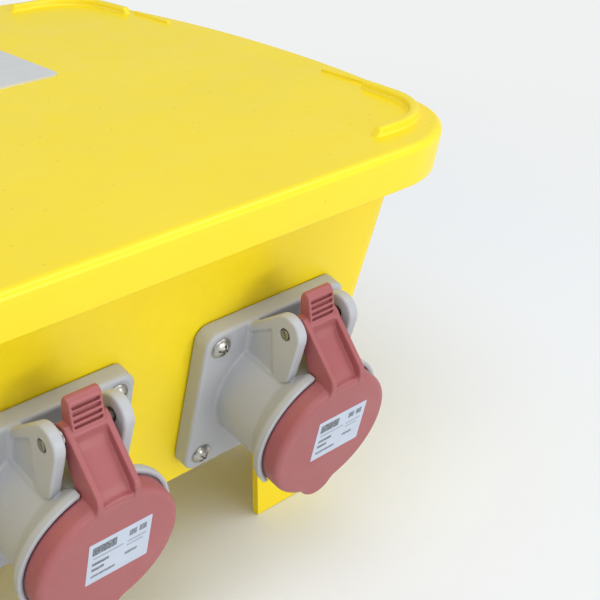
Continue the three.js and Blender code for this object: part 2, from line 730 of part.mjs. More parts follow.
// centreline of the lead: [x from the left end, y, z]
const LEAD_PATH = [
  [26, 0, 92], [8, 0, 92], [-14, 0, 92], [-34, 0, 90.5], [-52, 0, 80], [-61, 2, 58],
  [-66, 12, 30], [-70, 34, 11.5], [-71, 56, 8.8], [-71, 76, 9.4], [-71, 95.5, 13.6]];

function glandBody() {
  return cut(
    add(cylinder(GLAND_R, -9, 6, 20), cylinder(17, 1.9, 7.6, 6), cylinder(12.2, 6.5, 18, 20)),
    cylinder(GLAND_BORE, -20, 30, 18));
}

function glandNut() {
  const dome = turned([[0, 16.5], [14.2, 16.5], [13.6, 23], [11, 27], [0, 27]], 20);
  return cut(cylinder(16.6, 8, 17, 6).add(dome),
    cylinder(12.6, 0, 20, 20), cylinder(GLAND_BORE, 10, 40, 18));
}

// Lead out of the gland, down to the floor and round to its plug.
function supplyLead() {
  const points = LEAD_PATH.map(([x, y, z]) => new THREE.Vector3(LEFT_END + x, y, z));
  const extrudePath = new THREE.CatmullRomCurve3(points, false, 'centripetal');
  const circle = Array.from({ length: 10 }, (_, i) => polar(LEAD_R, i * 36));
  return solid(extrusion(circle, { steps: 24, extrudePath }));
}

function supplyPlug() {
  const shell = turned([
    [0, 0], [13, 0], [14, 3], [14, 14], [17, 20], [24, 40], [26, 46], [26, 62],
    [29.5, 63], [29.5, 74], [27, 75], [27, 104], [0, 104]], 24);
  const mouth = turned([[0, 76], [24, 76], [24, 110], [0, 110]], 20);
  // [degrees round the plug, pin radius]
  const pins = [[90, 3.5], [162, 3], [234, 3], [306, 3], [18, 3]].map(([degrees, radius]) =>
    cylinder(radius, 70, 100, 8, ...polar(14, degrees)));
  return add(shell.subtract(mouth), ...pins);
}

const glandFrame = new THREE.Group();
glandFrame.position.set(LEFT_END, 0, GLAND_Z);
glandFrame.rotation.y = -Math.PI / 2;            // local z points out of the left end
product.add(glandFrame);
mesh('gland_body', glandBody(), GLAND_GREY, glandFrame);
mesh('gland_nut', glandNut(), GLAND_GREY, glandFrame);
mesh('supply_lead', supplyLead(), RUBBER);

const plugFrame = new THREE.Group();
plugFrame.position.set(PLUG_X, 96.5, 15.2);
plugFrame.rotation.x = -Math.PI / 2 + 0.225;     // local z runs along +y and a little up
product.add(plugFrame);
mesh('supply_plug', supplyPlug(), RED, plugFrame);

product.position.set(TUB_X, TUB_Y, 0);

export default product;
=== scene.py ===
"""Portable power distribution box: three outlets with flip caps in front, breakers at the back.

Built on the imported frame. X runs along the box, Y from the front (-) to the back (+) and Z
up from the floor. The supply lead leaves the left (-X) end and lies on the floor beside it.
Shapes are drawn in millimetres and placed in metres; modifiers, materials and the studio
are in metres.
"""
import math

import bmesh
import bpy
import numpy as np
from mathutils import Matrix, Vector

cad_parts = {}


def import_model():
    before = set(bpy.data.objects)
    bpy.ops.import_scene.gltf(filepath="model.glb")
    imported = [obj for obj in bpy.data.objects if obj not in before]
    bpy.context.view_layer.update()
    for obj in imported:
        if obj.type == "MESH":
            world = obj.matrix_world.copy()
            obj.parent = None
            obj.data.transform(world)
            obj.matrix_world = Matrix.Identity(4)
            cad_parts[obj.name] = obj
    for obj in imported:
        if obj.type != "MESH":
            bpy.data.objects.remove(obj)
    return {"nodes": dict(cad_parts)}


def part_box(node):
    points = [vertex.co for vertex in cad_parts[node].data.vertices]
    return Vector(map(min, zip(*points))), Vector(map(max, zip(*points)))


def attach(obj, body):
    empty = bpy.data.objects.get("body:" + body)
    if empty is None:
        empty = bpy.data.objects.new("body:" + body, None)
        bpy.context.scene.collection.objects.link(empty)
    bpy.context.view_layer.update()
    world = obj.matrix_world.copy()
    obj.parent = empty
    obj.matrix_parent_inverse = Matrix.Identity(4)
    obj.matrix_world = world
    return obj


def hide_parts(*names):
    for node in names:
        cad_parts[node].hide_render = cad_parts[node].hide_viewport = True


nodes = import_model()["nodes"]
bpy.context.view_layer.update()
scene = bpy.context.scene

# ------------------------------------------------------------------ placing
FACE_TILT = 0.2562906              # rad, the front and back faces lean out towards the top
FACE_OUT, FACE_Z = 129.5, 94.8     # face origin: distance from the tub's middle, height
MM = Matrix.Scale(0.001, 4)


def centre(name):
    """middle of a CAD piece in x and y, mm"""
    low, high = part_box(name)
    return (low.x + high.x) / 2 * 1000, (low.y + high.y) / 2 * 1000


TUB_X, TUB_Y = centre("body_tub")
OUTLET_X = {side: centre("outlet_housing_" + side)[0] for side in ("left", "middle", "right")}
TUB_FRAME = MM @ Matrix.Translation((TUB_X, TUB_Y, 0))


def face_matrix(x, side):
    """face coordinates (u across, v up the face, w outwards) to the frame; side -1 front, 1 back"""
    sine, cosine = math.sin(FACE_TILT), math.cos(FACE_TILT)
    return MM @ Matrix(((-side, 0, 0, x),
                        (0, side * sine, side * cosine, TUB_Y + side * FACE_OUT),
                        (0, cosine, -sine, FACE_Z),
                        (0, 0, 0, 1)))


def end_wall_x(z):
    """distance of the tub's sloping end walls from its middle at height z"""
    return 180.8 + 0.068 * (z - 159.5)


# ------------------------------------------------------------- solid fields
# A field holds distances in mm, negative inside the solid.
class Grid:
    """sample points over a box, with basic solids as fields on them"""

    def __init__(self, low, high, step):
        self.step = step
        self.axes = [np.arange(low[i] - step, high[i] + 2 * step, step, dtype=np.float32)
                     for i in range(3)]
        self.x = self.axes[0][:, None, None]
        self.y = self.axes[1][None, :, None]
        self.z = self.axes[2][None, None, :]

    def rho(self, x=0.0, y=0.0):
        """distance from an upright axis"""
        return np.sqrt((self.x - x) ** 2 + (self.y - y) ** 2)

    def from_bar(self, y, z):
        """distance from an axis along x"""
        return np.sqrt((self.y - y) ** 2 + (self.z - z) ** 2)

    def turned(self, points):
        """solid of revolution about z from a closed (radius, z) outline"""
        step = self.step / 4
        rho = self.rho()[:, :, 0]
        radii = (np.arange(int(rho.max() / step) + 3) * step).astype(np.float32)
        table = outline_distance(radii[:, None], self.axes[2][None, :], points)
        place_in_table = rho / step
        index = place_in_table.astype(int)
        part = (place_in_table - index)[:, :, None]
        return table[index] * (1 - part) + table[index + 1] * part

    def outline_yz(self, points):
        """endless bar along x with a (y, z) outline"""
        return outline_distance(self.axes[1][:, None], self.axes[2][None, :], points)[None]

    def along_x(self, points, x0, x1, radius=0.0):
        """(y, z) outline swept from x0 to x1, edges rounded by radius"""
        return joined(self.outline_yz(points), slab(self.x, x0, x1), radius)

    def along_z(self, flat, z0, z1, radius=0.0):
        """field in x and y swept from z0 to z1"""
        return joined(flat, slab(self.z, z0, z1), radius)

    def square(self, half, radius):
        """upright square bar with rounded corners"""
        return joined(np.abs(self.x) - half, np.abs(self.y) - half, radius)

    def hexagon(self, half):
        """upright hexagonal bar, half its width across flats"""
        field = np.abs(self.y)
        for angle in (math.pi / 6, -math.pi / 6):
            field = np.maximum(field, np.abs(self.x * math.cos(angle) + self.y * math.sin(angle)))
        return field - half

    def flutes(self, count):
        """0 in the middle of each of count sectors about z, 0.5 between them"""
        angle = np.arctan2(self.y, self.x)
        return np.abs(((angle * count / (2 * math.pi)) % 1) - 0.5)

    def bar_x(self, radius, x0, x1, y, z):
        return np.maximum(self.from_bar(y, z) - radius, slab(self.x, x0, x1))

    def box(self, x0, x1, y0, y1, z0, z1, radius=0.0):
        qx, qy, qz = [slab(*side) + radius for side in
                      ((self.x, x0, x1), (self.y, y0, y1), (self.z, z0, z1))]
        out = np.sqrt(np.maximum(qx, 0) ** 2 + np.maximum(qy, 0) ** 2 + np.maximum(qz, 0) ** 2)
        return out + np.minimum(np.maximum(np.maximum(qx, qy), qz), 0) - radius


def slab(axis, low, high):
    return np.abs(axis - (low + high) / 2) - (high - low) / 2


def joined(a, b, radius):
    """overlap of two fields, the edge between them rounded by radius"""
    if radius <= 0:
        return np.maximum(a, b)
    a, b = a + radius, b + radius
    corner = np.sqrt(np.maximum(a, 0) ** 2 + np.maximum(b, 0) ** 2)
    return corner + np.minimum(np.maximum(a, b), 0) - radius


def outline_distance(x, y, points):
    """signed distance to a closed outline"""
    x = x + np.zeros_like(y)
    y = y + np.zeros_like(x)
    points = np.array(points, np.float32)
    nearest = np.full(x.shape, 1e12, np.float32)
    outside = np.ones(x.shape, bool)
    for i in range(len(points)):
        start, end = points[i], points[i - 1]
        edge_x, edge_y = end - start
        rel_x, rel_y = x - start[0], y - start[1]
        length2 = max(edge_x * edge_x + edge_y * edge_y, 1e-9)
        t = np.clip((rel_x * edge_x + rel_y * edge_y) / length2, 0, 1)
        nearest = np.minimum(nearest, (rel_x - edge_x * t) ** 2 + (rel_y - edge_y * t) ** 2)
        above, below, left = y >= start[1], y < end[1], edge_x * rel_y > edge_y * rel_x
        outside ^= (above & below & left) | (~above & ~below & ~left)
    return np.where(outside, 1, -1) * np.sqrt(nearest)


def union(a, b, blend=0.0):
    if blend <= 0:
        return np.minimum(a, b)
    return np.minimum(a, b) - np.maximum(blend - np.abs(a - b), 0) ** 2 / (4 * blend)


def both(a, b, blend=0.0):
    return -union(-a, -b, blend)


def minus(a, b, blend=0.0):
    return both(a, -b, blend)


def skin(grid, field):
    """closed quad skin of a field: one vertex in each cell the surface crosses"""
    shape = [axis.size for axis in grid.axes]
    field = np.array(np.broadcast_to(field, shape), np.float32, order="C")
    for end in (0, -1):            # the outermost samples stay outside, so the skin closes
        field[end] = np.maximum(field[end], 0.01)
        field[:, end] = np.maximum(field[:, end], 0.01)
        field[:, :, end] = np.maximum(field[:, :, end], 0.01)
    field[np.abs(field) < 1e-5] = 1e-5
    inside = field < 0

    size = [k - 1 for k in shape]
    count = np.zeros(size, np.int8)
    corners = [(i, j, k) for i in (0, 1) for j in (0, 1) for k in (0, 1)]
    for i, j, k in corners:
        count += inside[i:i + size[0], j:j + size[1], k:k + size[2]]
    cells = np.argwhere((count > 0) & (count < 8))
    value = {corner: field[tuple((cells + corner).T)] for corner in corners}

    # each vertex is the mean of the crossings on its cell's edges
    total = np.zeros((len(cells), 3))
    hits = np.zeros(len(cells))
    for corner in corners:
        for axis in range(3):
            if corner[axis]:
                continue
            other = tuple(1 if k == axis else corner[k] for k in range(3))
            near, far = value[corner], value[other]
            crossed = (near < 0) != (far < 0)
            t = np.where(crossed, near / np.where(crossed, near - far, 1), 0)
            crossing = np.tile(np.array(corner, float), (len(cells), 1))
            crossing[:, axis] += t
            total += crossing * crossed[:, None]
            hits += crossed
    points = total / hits[:, None] + cells
    points = points * grid.step + np.array([axis[0] for axis in grid.axes])

    # each grid edge the surface crosses joins the four cells around it
    number = np.full(size, -1, np.int64)
    number[tuple(cells.T)] = np.arange(len(cells))
    quads = []
    for axis, b, c in ((0, 1, 2), (1, 2, 0), (2, 0, 1)):
        low, high = [slice(None)] * 3, [slice(None)] * 3
        low[axis], high[axis] = slice(0, -1), slice(1, None)
        near, far = inside[tuple(low)], inside[tuple(high)]
        for crossed, flip in ((near & ~far, False), (~near & far, True)):
            edges = np.argwhere(crossed)
            edges = edges[(edges[:, b] > 0) & (edges[:, c] > 0)
                          & (edges[:, b] < shape[b] - 1) & (edges[:, c] < shape[c] - 1)]
            ring = []
            for back_b, back_c in ((1, 1), (0, 1), (0, 0), (1, 0)):
                cell = edges.copy()
                cell[:, b] -= back_b
                cell[:, c] -= back_c
                ring.append(number[tuple(cell.T)])
            quads.append(np.stack(ring[::-1] if flip else ring, 1))
    quads = np.concatenate(quads)
    return points, quads[(quads >= 0).all(1)]


# ------------------------------------------------------------------- meshes
# A shape is a pair: points in mm, faces.
def build(name, shape, material, matrix, smooth=True):
    points, faces = shape
    mesh = bpy.data.meshes.new(name)
    matrix = np.array(matrix)
    points = np.asarray(points, float) @ matrix[:3, :3].T + matrix[:3, 3]
    mesh.from_pydata([tuple(p) for p in points], [], [tuple(int(i) for i in q) for q in faces])
    mesh.validate()
    mesh.update()
    if smooth:
        mesh.polygons.foreach_set("use_smooth", [True] * len(mesh.polygons))
    obj = bpy.data.objects.new(name, mesh)
    scene.collection.objects.link(obj)
    mesh.materials.append(material)
    return obj


def place(name, shape, material, matrix, body="box", replaced=None):
    """build a piece, parent it to the empty of the body it rides on and hide the CAD piece it
    replaces
    """
    obj = build(name, shape, material, matrix)
    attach(obj, body)
    if replaced:
        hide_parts(replaced)
    return obj


def bridge(start_a, start_b, count):
    """quads between two closed rings of points, from their first numbers"""
    return [(start_a + i, start_a + (i + 1) % count, start_b + (i + 1) % count, start_b + i)
            for i in range(count)]


def lathe(outline, segments):
    """turned shape about z; a (radius, z) outline starting off the axis is closed"""
    points, faces, rings = [], [], []
    for radius, z in outline:
        first = len(points)
        if radius == 0:
            points.append((0, 0, z))
        else:
            points += [(radius * math.cos(2 * math.pi * i / segments),
                        radius * math.sin(2 * math.pi * i / segments), z)
                       for i in range(segments)]
        rings.append(list(range(first, len(points))))
    closed = outline[0][0] > 0
    for k in range(len(rings) if closed else len(rings) - 1):
        a, b = rings[k], rings[(k + 1) % len(rings)]
        for i in range(segments):
            j = (i + 1) % segments
            if len(a) == 1:
                faces.append((a[0], b[j], b[i]))
            elif len(b) == 1:
                faces.append((a[i], a[j], b[0]))
            else:
                faces.append((a[i], a[j], b[j], b[i]))
    return points, faces


def sweep(path, radius, segments):
    """round bar with flat ends along a path"""
    path = np.array(path, float)
    tangent = np.gradient(path, axis=0)
    tangent /= np.linalg.norm(tangent, axis=1)[:, None]
    # slightly askew, so it is never parallel to the path
    normal = np.array((0.03, 0.02, 1.0))
    if abs(tangent[0] @ normal) > 0.9:
        normal = np.array((1.0, 0.02, 0.03))
    normal -= tangent[0] * (normal @ tangent[0])
    normal /= np.linalg.norm(normal)
    points, faces = [], []
    for i in range(len(path)):
        normal = normal - tangent[i] * (normal @ tangent[i])
        normal /= np.linalg.norm(normal)
        side = np.cross(tangent[i], normal)
        for k in range(segments):
            angle = 2 * math.pi * k / segments
            points.append(path[i] + radius * (normal * math.cos(angle) + side * math.sin(angle)))
    for i in range(len(path) - 1):
        faces += bridge(i * segments, (i + 1) * segments, segments)
        # bridge runs ring to ring in the same turning sense
    faces.append(tuple(reversed(range(segments))))
    faces.append(tuple((len(path) - 1) * segments + k for k in range(segments)))
    return points, faces


def fix_normals(obj):
    mesh = bmesh.new()
    mesh.from_mesh(obj.data)
    bmesh.ops.recalc_face_normals(mesh, faces=mesh.faces)
    if mesh.calc_volume(signed=True) < 0:
        bmesh.ops.reverse_faces(mesh, faces=mesh.faces)
    mesh.to_mesh(obj.data)
    mesh.free()


def round_outline(outline, radius, segments=4):
    """outline with its corners rounded"""
    out = []
    count = len(outline)
    for i in range(count):
        before, corner, after = (np.array(outline[(i + k) % count], float) for k in (-1, 0, 1))
        back, ahead = before - corner, after - corner
        back_length, ahead_length = np.linalg.norm(back), np.linalg.norm(ahead)
        cut = min(radius, back_length * 0.45, ahead_length * 0.45)
        start, end = corner + back / back_length * cut, corner + ahead / ahead_length * cut
        for k in range(segments + 1):
            t = k / segments
            out.append(tuple((1 - t) ** 2 * start + 2 * t * (1 - t) * corner + t * t * end))
    return out


def shade(obj):
    obj.data.polygons.foreach_set("use_smooth", [True] * len(obj.data.polygons))
    normals = obj.modifiers.new("normals", "WEIGHTED_NORMAL")
    normals.keep_sharp = True
    normals.weight = 60


def paint(name, material):
    """give a CAD piece its material"""
    obj = nodes[name]
    obj.data.materials.clear()
    obj.data.materials.append(material)
    return obj


def soften(name, material, width, segments, angle=35):
    """paint a CAD piece and soften its edges, by modifiers only; width in m, angle in degrees"""
    obj = paint(name, material)
    weld = obj.modifiers.new("weld", "WELD")
    weld.merge_threshold = 1e-6
    flat = obj.modifiers.new("flat", "DECIMATE")
    flat.decimate_type = "DISSOLVE"
    flat.angle_limit = math.radians(1.0)
    edge = obj.modifiers.new("edge", "BEVEL")
    edge.width = width
    edge.segments = segments
    edge.limit_method = "ANGLE"
    edge.angle_limit = math.radians(angle)
    edge.harden_normals = False
    edge.use_clamp_overlap = True
    shade(obj)


def label_plate(name, extent, base, thick, corner, material, matrix, body="box"):
    """thin plate over extent (u0, u1, v0, v1), its "print" UVs running 0..1 across it"""
    u0, u1, v0, v1 = extent
    outline = round_outline([(u0, v0), (u1, v0), (u1, v1), (u0, v1)], corner)
    middle_u, middle_v = (u0 + u1) / 2, (v0 + v1) / 2
    count = len(outline)
    rim = min(0.08, thick * 0.4)
    points = []
    for z, inset in ((base, 0), (base + thick - rim, 0), (base + thick, rim)):
        for x, y in outline:
            points.append((x - math.copysign(inset, x - middle_u),
                           y - math.copysign(inset, y - middle_v), z))
    faces = bridge(0, count, count) + bridge(count, 2 * count, count)
    faces.append(tuple(2 * count + i for i in range(count)))
    faces.append(tuple(reversed(range(count))))
    obj = build(name, (points, faces), material, matrix, smooth=False)
    layer = obj.data.uv_layers.new(name="print")
    for loop in obj.data.loops:
        x, y, _ = points[loop.vertex_index]
        layer.data[loop.index].uv = ((x - u0) / (u1 - u0), (y - v0) / (v1 - v0))
    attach(obj, body)
    return obj


# ---------------------------------------------------------------- materials
def lin(*rgb):
    """8-bit sRGB colour to linear"""
    return tuple((v / 255) / 12.92 if v / 255 <= 0.04045 else ((v / 255 + 0.055) / 1.055) ** 2.4
                 for v in rgb)


def scaled(color, factor):
    return tuple(c * factor for c in color)


class Nodes:
    """a material and short calls for its nodes; a value is a number, a colour or a socket"""

    def __init__(self, name):
        self.material = bpy.data.materials.new(name)
        self.material.use_nodes = True
        self.tree = self.material.node_tree
        self.principled = self.tree.nodes["Principled BSDF"]

    def new(self, kind, inputs=None, **settings):
        node = self.tree.nodes.new(kind)
        for key, value in settings.items():
            setattr(node, key, value)
        for key, value in (inputs or {}).items():
            self.put(node.inputs[key], value)
        return node

    def put(self, socket, value):
        if isinstance(value, (int, float)):
            socket.default_value = value
        elif isinstance(value, tuple):
            socket.default_value = (*value, 1)
        else:
            self.tree.links.new(value, socket)

    def feed(self, **values):
        """set inputs of the Principled node, underscores standing for spaces"""
        for key, value in values.items():
            self.put(self.principled.inputs[key.replace("_", " ")], value)

    def object_coords(self):
        return self.new("ShaderNodeTexCoord").outputs["Object"]

    def noise(self, scale, detail, rough=0.55):
        coords = self.object_coords()
        return self.new("ShaderNodeTexNoise", {
            "Scale": scale, "Detail": detail, "Roughness": rough, "Vector": coords}).outputs["Fac"]

    def ramp(self, source, start, end, low=0.0, high=1.0, interpolation="LINEAR"):
        """source from start..end to low..high"""
        return self.new("ShaderNodeMapRange", {
            "From Min": start, "From Max": end, "To Min": low, "To Max": high,
            "Value": source}, interpolation_type=interpolation).outputs["Result"]

    def mottle(self, scale, detail, start, end, low=0.0, high=1.0, rough=0.55):
        """noise through a ramp"""
        return self.ramp(self.noise(scale, detail, rough), start, end, low, high)

    def pointiness(self, start, end, low, high):
        geometry = self.new("ShaderNodeNewGeometry")
        return self.ramp(geometry.outputs["Pointiness"], start, end, low, high)

    def math(self, operation, *values):
        node = self.new("ShaderNodeMath", operation=operation)
        for socket, value in zip(node.inputs, values):
            self.put(socket, value)
        return node.outputs[0]

    def mix(self, factor, a, b):
        # inputs 6 and 7 and output 2 are the colour ones
        return self.new("ShaderNodeMix", {0: factor, 6: a, 7: b}, data_type="RGBA").outputs[2]

    def bump(self, height, strength, distance, normal=None):
        inputs = {"Strength": strength, "Distance": distance, "Height": height}
        if normal is not None:
            inputs["Normal"] = normal
        return self.new("ShaderNodeBump", inputs).outputs["Normal"]


def plastic(name, color, rough, grain, vary, grain_size=0.0006, specks=0.0, wear=0.0, spec=0.45):
    """moulded plastic; vary is the colour's spread, specks and wear the strength of each"""
    n = Nodes(name)
    dark = scaled(color, 1 - vary)
    light = tuple(min(1, c * (1 + vary) + 0.004) for c in color)
    tint = n.mix(n.mottle(scale=14, detail=4, start=0.35, end=0.65), dark, light)
    tint = n.mix(n.mottle(scale=1 / (grain_size * 6), detail=2, start=0.4, end=0.6, high=0.25),
                 tint, dark)
    if specks:
        voronoi = n.new("ShaderNodeTexVoronoi", {"Scale": 110}, feature="F1")
        n.put(voronoi.inputs["Vector"], n.object_coords())
        spots = n.ramp(voronoi.outputs["Distance"], start=0.045, end=0.09, low=specks, high=0)
        tint = n.mix(spots, tint, scaled(color, 0.45))
    if wear:
        edge = n.pointiness(start=0.53, end=0.62, low=0, high=wear)
        patches = n.mottle(scale=300, detail=4, start=0.35, end=0.65)
        tint = n.mix(n.math("MULTIPLY", edge, patches), tint,
                     tuple(min(1, c * 0.6 + 0.28) for c in color))
    n.feed(Base_Color=tint)
    n.feed(Roughness=n.mottle(scale=55, detail=4, start=0.3, end=0.7,
                              low=rough - 0.06, high=rough + 0.08),
           Specular_IOR_Level=spec, Coat_Roughness=0.25)
    fine = n.bump(n.noise(scale=1 / grain_size, detail=2), strength=grain, distance=0.0001)
    n.feed(Normal=n.bump(n.noise(scale=28, detail=2), strength=0.10, distance=0.0012,
                         normal=fine))
    return n.material


def metal(name, color, rough, hollow_darkening=0.35):
    """bare metal, darker in its hollows"""
    n = Nodes(name)
    tint = n.mix(n.mottle(scale=420, detail=4, start=0.35, end=0.7), color, scaled(color, 0.72))
    # darker towards the hollows, by pointiness
    hollow = n.pointiness(start=0.40, end=0.49, low=hollow_darkening, high=0)
    n.feed(Base_Color=n.mix(hollow, tint, (0.05, 0.045, 0.035)), Metallic=1)
    n.feed(Roughness=n.mottle(scale=700, detail=3, start=0.3, end=0.7,
                              low=rough - 0.08, high=rough + 0.14))
    n.feed(Normal=n.bump(n.noise(scale=2200, detail=3), strength=0.12, distance=0.00006))
    return n.material


def rubber(name, color, rough):
    n = Nodes(name)
    n.feed(Base_Color=n.mix(n.mottle(scale=60, detail=5, rough=0.7, start=0.35, end=0.7),
                            color, tuple(c * 1.9 + 0.006 for c in color)))
    n.feed(Roughness=n.mottle(scale=120, detail=3, start=0.3, end=0.7,
                              low=rough - 0.12, high=rough + 0.1),
           Specular_IOR_Level=0.35)
    n.feed(Normal=n.bump(n.noise(scale=1500, detail=3), strength=0.25, distance=0.0001))
    return n.material


def printed(name, paper, ink, bars, rough=0.4):
    """printed film: bars in place of wording, as (left, right, bottom, top, tone) in 0..1"""
    n = Nodes(name)
    coords = n.new("ShaderNodeUVMap", uv_map="print")
    split = n.new("ShaderNodeSeparateXYZ", {0: coords.outputs["UV"]})

    def within(axis, low, high):
        away = n.math("ABSOLUTE", n.math("SUBTRACT", split.outputs[axis], (low + high) / 2))
        return n.math("LESS_THAN", away, (high - low) / 2)

    total = None
    for left, right, bottom, top, tone in bars:
        inside = n.math("MULTIPLY", within("X", left, right), within("Y", bottom, top))
        bar = n.math("MULTIPLY", inside, tone)
        total = bar if total is None else n.math("MAXIMUM", total, bar)
    broken = n.mottle(scale=1400, detail=3, start=0.38, end=0.5, low=0.55)
    covered = n.math("MULTIPLY", total, broken)
    base = n.mix(n.mottle(scale=90, detail=4, start=0.3, end=0.7), paper, scaled(paper, 0.93))
    n.feed(Base_Color=n.mix(covered, base, ink))
    n.feed(Roughness=n.mottle(scale=60, detail=3, start=0.3, end=0.7,
                              low=rough - 0.06, high=rough + 0.08))
    n.feed(Normal=n.bump(n.noise(scale=900, detail=2), strength=0.06, distance=0.00005))
    return n.material


def clear_plastic(name):
    n = Nodes(name)
    n.feed(Base_Color=n.mix(n.mottle(scale=22, detail=4, start=0.35, end=0.7),
                            (0.30, 0.33, 0.35), (0.36, 0.39, 0.41)))
    n.feed(Roughness=n.mottle(scale=30, detail=4, start=0.3, end=0.7, low=0.03, high=0.10))
    n.feed(Normal=n.bump(n.noise(scale=35, detail=2), strength=0.03, distance=0.0003),
           Specular_IOR_Level=0.9)
    n.feed(Alpha=n.mottle(scale=260, detail=5, rough=0.7, start=0.45, end=0.8,
                          low=0.20, high=0.30))
    return n.material


YELLOW = plastic("yellow_plastic", lin(247, 219, 14), rough=0.42, grain=0.10, grain_size=0.0007,
                 vary=0.035, spec=0.42)
YELLOW_LID = plastic("yellow_plastic_lid", lin(246, 220, 18), rough=0.36, grain=0.08,
                     grain_size=0.0007, vary=0.014, specks=0.24, spec=0.50)
GREY = plastic("grey_plastic", lin(176, 178, 182), rough=0.42, grain=0.08, grain_size=0.0005,
               vary=0.03, wear=0.35)
RED = plastic("red_plastic", lin(161, 88, 90), rough=0.47, grain=0.12, grain_size=0.0005,
              vary=0.05, wear=0.30, spec=0.5)
BLACK = plastic("black_plastic", lin(34, 34, 36), rough=0.55, grain=0.15, vary=0.12, wear=0.2)
DARK = plastic("dark_frame_plastic", lin(58, 61, 66), rough=0.5, grain=0.15, vary=0.08, wear=0.2)
WHITE = plastic("breaker_plastic", lin(214, 214, 208), rough=0.45, grain=0.06, vary=0.03,
                wear=0.15)
LEVER = plastic("lever_plastic", lin(38, 41, 48), rough=0.38, grain=0.05, vary=0.1, wear=0.25)
AMBER = plastic("button_plastic", lin(226, 160, 30), rough=0.4, grain=0.05, vary=0.05, wear=0.2)
PLUG = plastic("plug_plastic", lin(176, 62, 56), rough=0.5, grain=0.12, vary=0.06, wear=0.3)
STEEL = metal("zinc_plated_steel", (0.53, 0.52, 0.48), rough=0.30)
PIN = metal("hinge_pin_steel", (0.34, 0.33, 0.30), rough=0.36, hollow_darkening=0.6)
BRASS = metal("contact_brass", (0.72, 0.55, 0.27), rough=0.3)
RUBBER = rubber("seal_rubber", (0.022, 0.022, 0.023), rough=0.75)
CABLE = rubber("cable_rubber", (0.02, 0.02, 0.021), rough=0.68)

# -------------------------------------------------------- outlets and caps
# All in face coordinates: the grid's x, y, z are u, v, w.
PIN_V, PIN_W = 45.1, 27.2          # hinge axis
PIN_R, PIN_HALF = 2.1, 16.8
FLANGE_HALF, FLANGE_CORNER, FLANGE_TOP = 38, 6.5, 8.4
FLANGE_LIP = 1.4                   # wall left around the recess under the flange
SCREW_AT = 30                      # flange screws, from the middle both ways
BORE_R = 24.6
CAP_R, CAP_TOP, CAP_FOOT = 30.1, 50.2, 41.4

NECK = [  # radius, w
    (0, -17.6), (27, -17.6), (27, 4), (27.4, 8), (27.1, 31), (27.1, 39.4), (26.4, 40.4),
    (26.4, 43.1), (0, 43.1)]
COLLAR = [  # radius, w
    (22, 31), (26.8, 31), (28.3, 33.4), (30.1, 35.9), (32, 38.1), (32.5, 39.1), (32.5, 41.9),
    (30.5, 41.9), (30.5, 40.3), (22, 40.3)]
EAR_POCKET = [(23.0, 9.5), (33.6, 9.5), (42.7, 20.2), (28.6, 23.9), (23.0, 25.2)]  # v, w
CAP_ARM = [  # v, w
    (26.4, 46), (26.4, 50.6), (31.4, 51.0), (34.5, 49.8), (50.4, 28.6), (49.8, 25.0),
    (45.1, 24.2), (38.4, 31.2), (29.4, 37.0), (27.9, 42.0)]
THUMB_TAB = [  # v, w
    (48.4, 31.4), (58.8, 27.1), (60.1, 25.4), (59.8, 23.2), (57.2, 22.5), (52.2, 23.4),
    (48.6, 24.8)]
CONTACT_RING_R = 12.5
CONTACTS = [(-90, 3.5), (0, 2.8), (90, 2.8), (180, 2.8)]  # degrees, hole radius


def on_ring(degrees, radius):
    angle = math.radians(degrees)
    return radius * math.cos(angle), radius * math.sin(angle)


def edge_frame(start, end):
    """points by their distance along an edge and to its left, and the edge's length"""
    start, end = np.array(start), np.array(end)
    length = np.linalg.norm(end - start)
    along = (end - start) / length
    across = np.array((-along[1], along[0]))
    return lambda t, n: tuple(start + along * t + across * n), length


def housing_shape():
    g = Grid((-38, -38, -17.8), (38, 53.4, 43.2), 0.54)
    solid = both(g.along_z(g.square(FLANGE_HALF, FLANGE_CORNER), -4, FLANGE_TOP, 1.5),
                 0.35 - g.z, 0.3)
    recess = np.maximum(g.square(FLANGE_HALF - FLANGE_LIP, FLANGE_CORNER - FLANGE_LIP), g.z - 1.8)
    solid = minus(solid, np.maximum(recess, 27.2 - g.rho()), 0.2)
    solid = union(solid, np.maximum(g.turned(NECK), -(g.z + 17.6)), 1.3)
    # collar, open at the hinge and cut off low down
    collar = g.turned(COLLAR)
    collar = minus(collar, np.maximum(np.abs(g.x) - 9.7, -g.y), 0.35)
    collar = minus(collar, g.y + 20, 0.35)
    solid = union(solid, collar, 0.5)
    # two hinge ears, rounded about the pin
    ear = [(20.8, 7), (35.4, 7)]
    for i in range(13):
        angle = -0.75 + 2.37 * i / 12
        ear.append((PIN_V + 8 * math.cos(angle), PIN_W + 8 * math.sin(angle)))
    ear += [(25.4, 34.1), (24.2, 33.2), (20.8, 29.4)]
    ears = joined(g.outline_yz(ear), np.abs(np.abs(g.x) - 14.1) - 2.4, 0.8)
    solid = union(solid, ears, 0.9)
    # hollows in the ears' outer sides
    pocket = g.outline_yz(round_outline(EAR_POCKET, 0.6))
    solid = minus(solid, np.maximum(pocket, 15.5 - np.abs(g.x)), 0.25)
    solid = minus(solid, g.rho() - BORE_R, 0.5)
    solid = minus(solid, g.from_bar(PIN_V, PIN_W) - 2.6, 0.3)
    for u in (-SCREW_AT, SCREW_AT):
        for v in (-SCREW_AT, SCREW_AT):
            solid = minus(solid, np.maximum(g.rho(u, v) - 5.6, 8.0 - g.z), 0.4)
            solid = minus(solid, g.rho(u, v) - 2.4)
    return skin(g, solid)


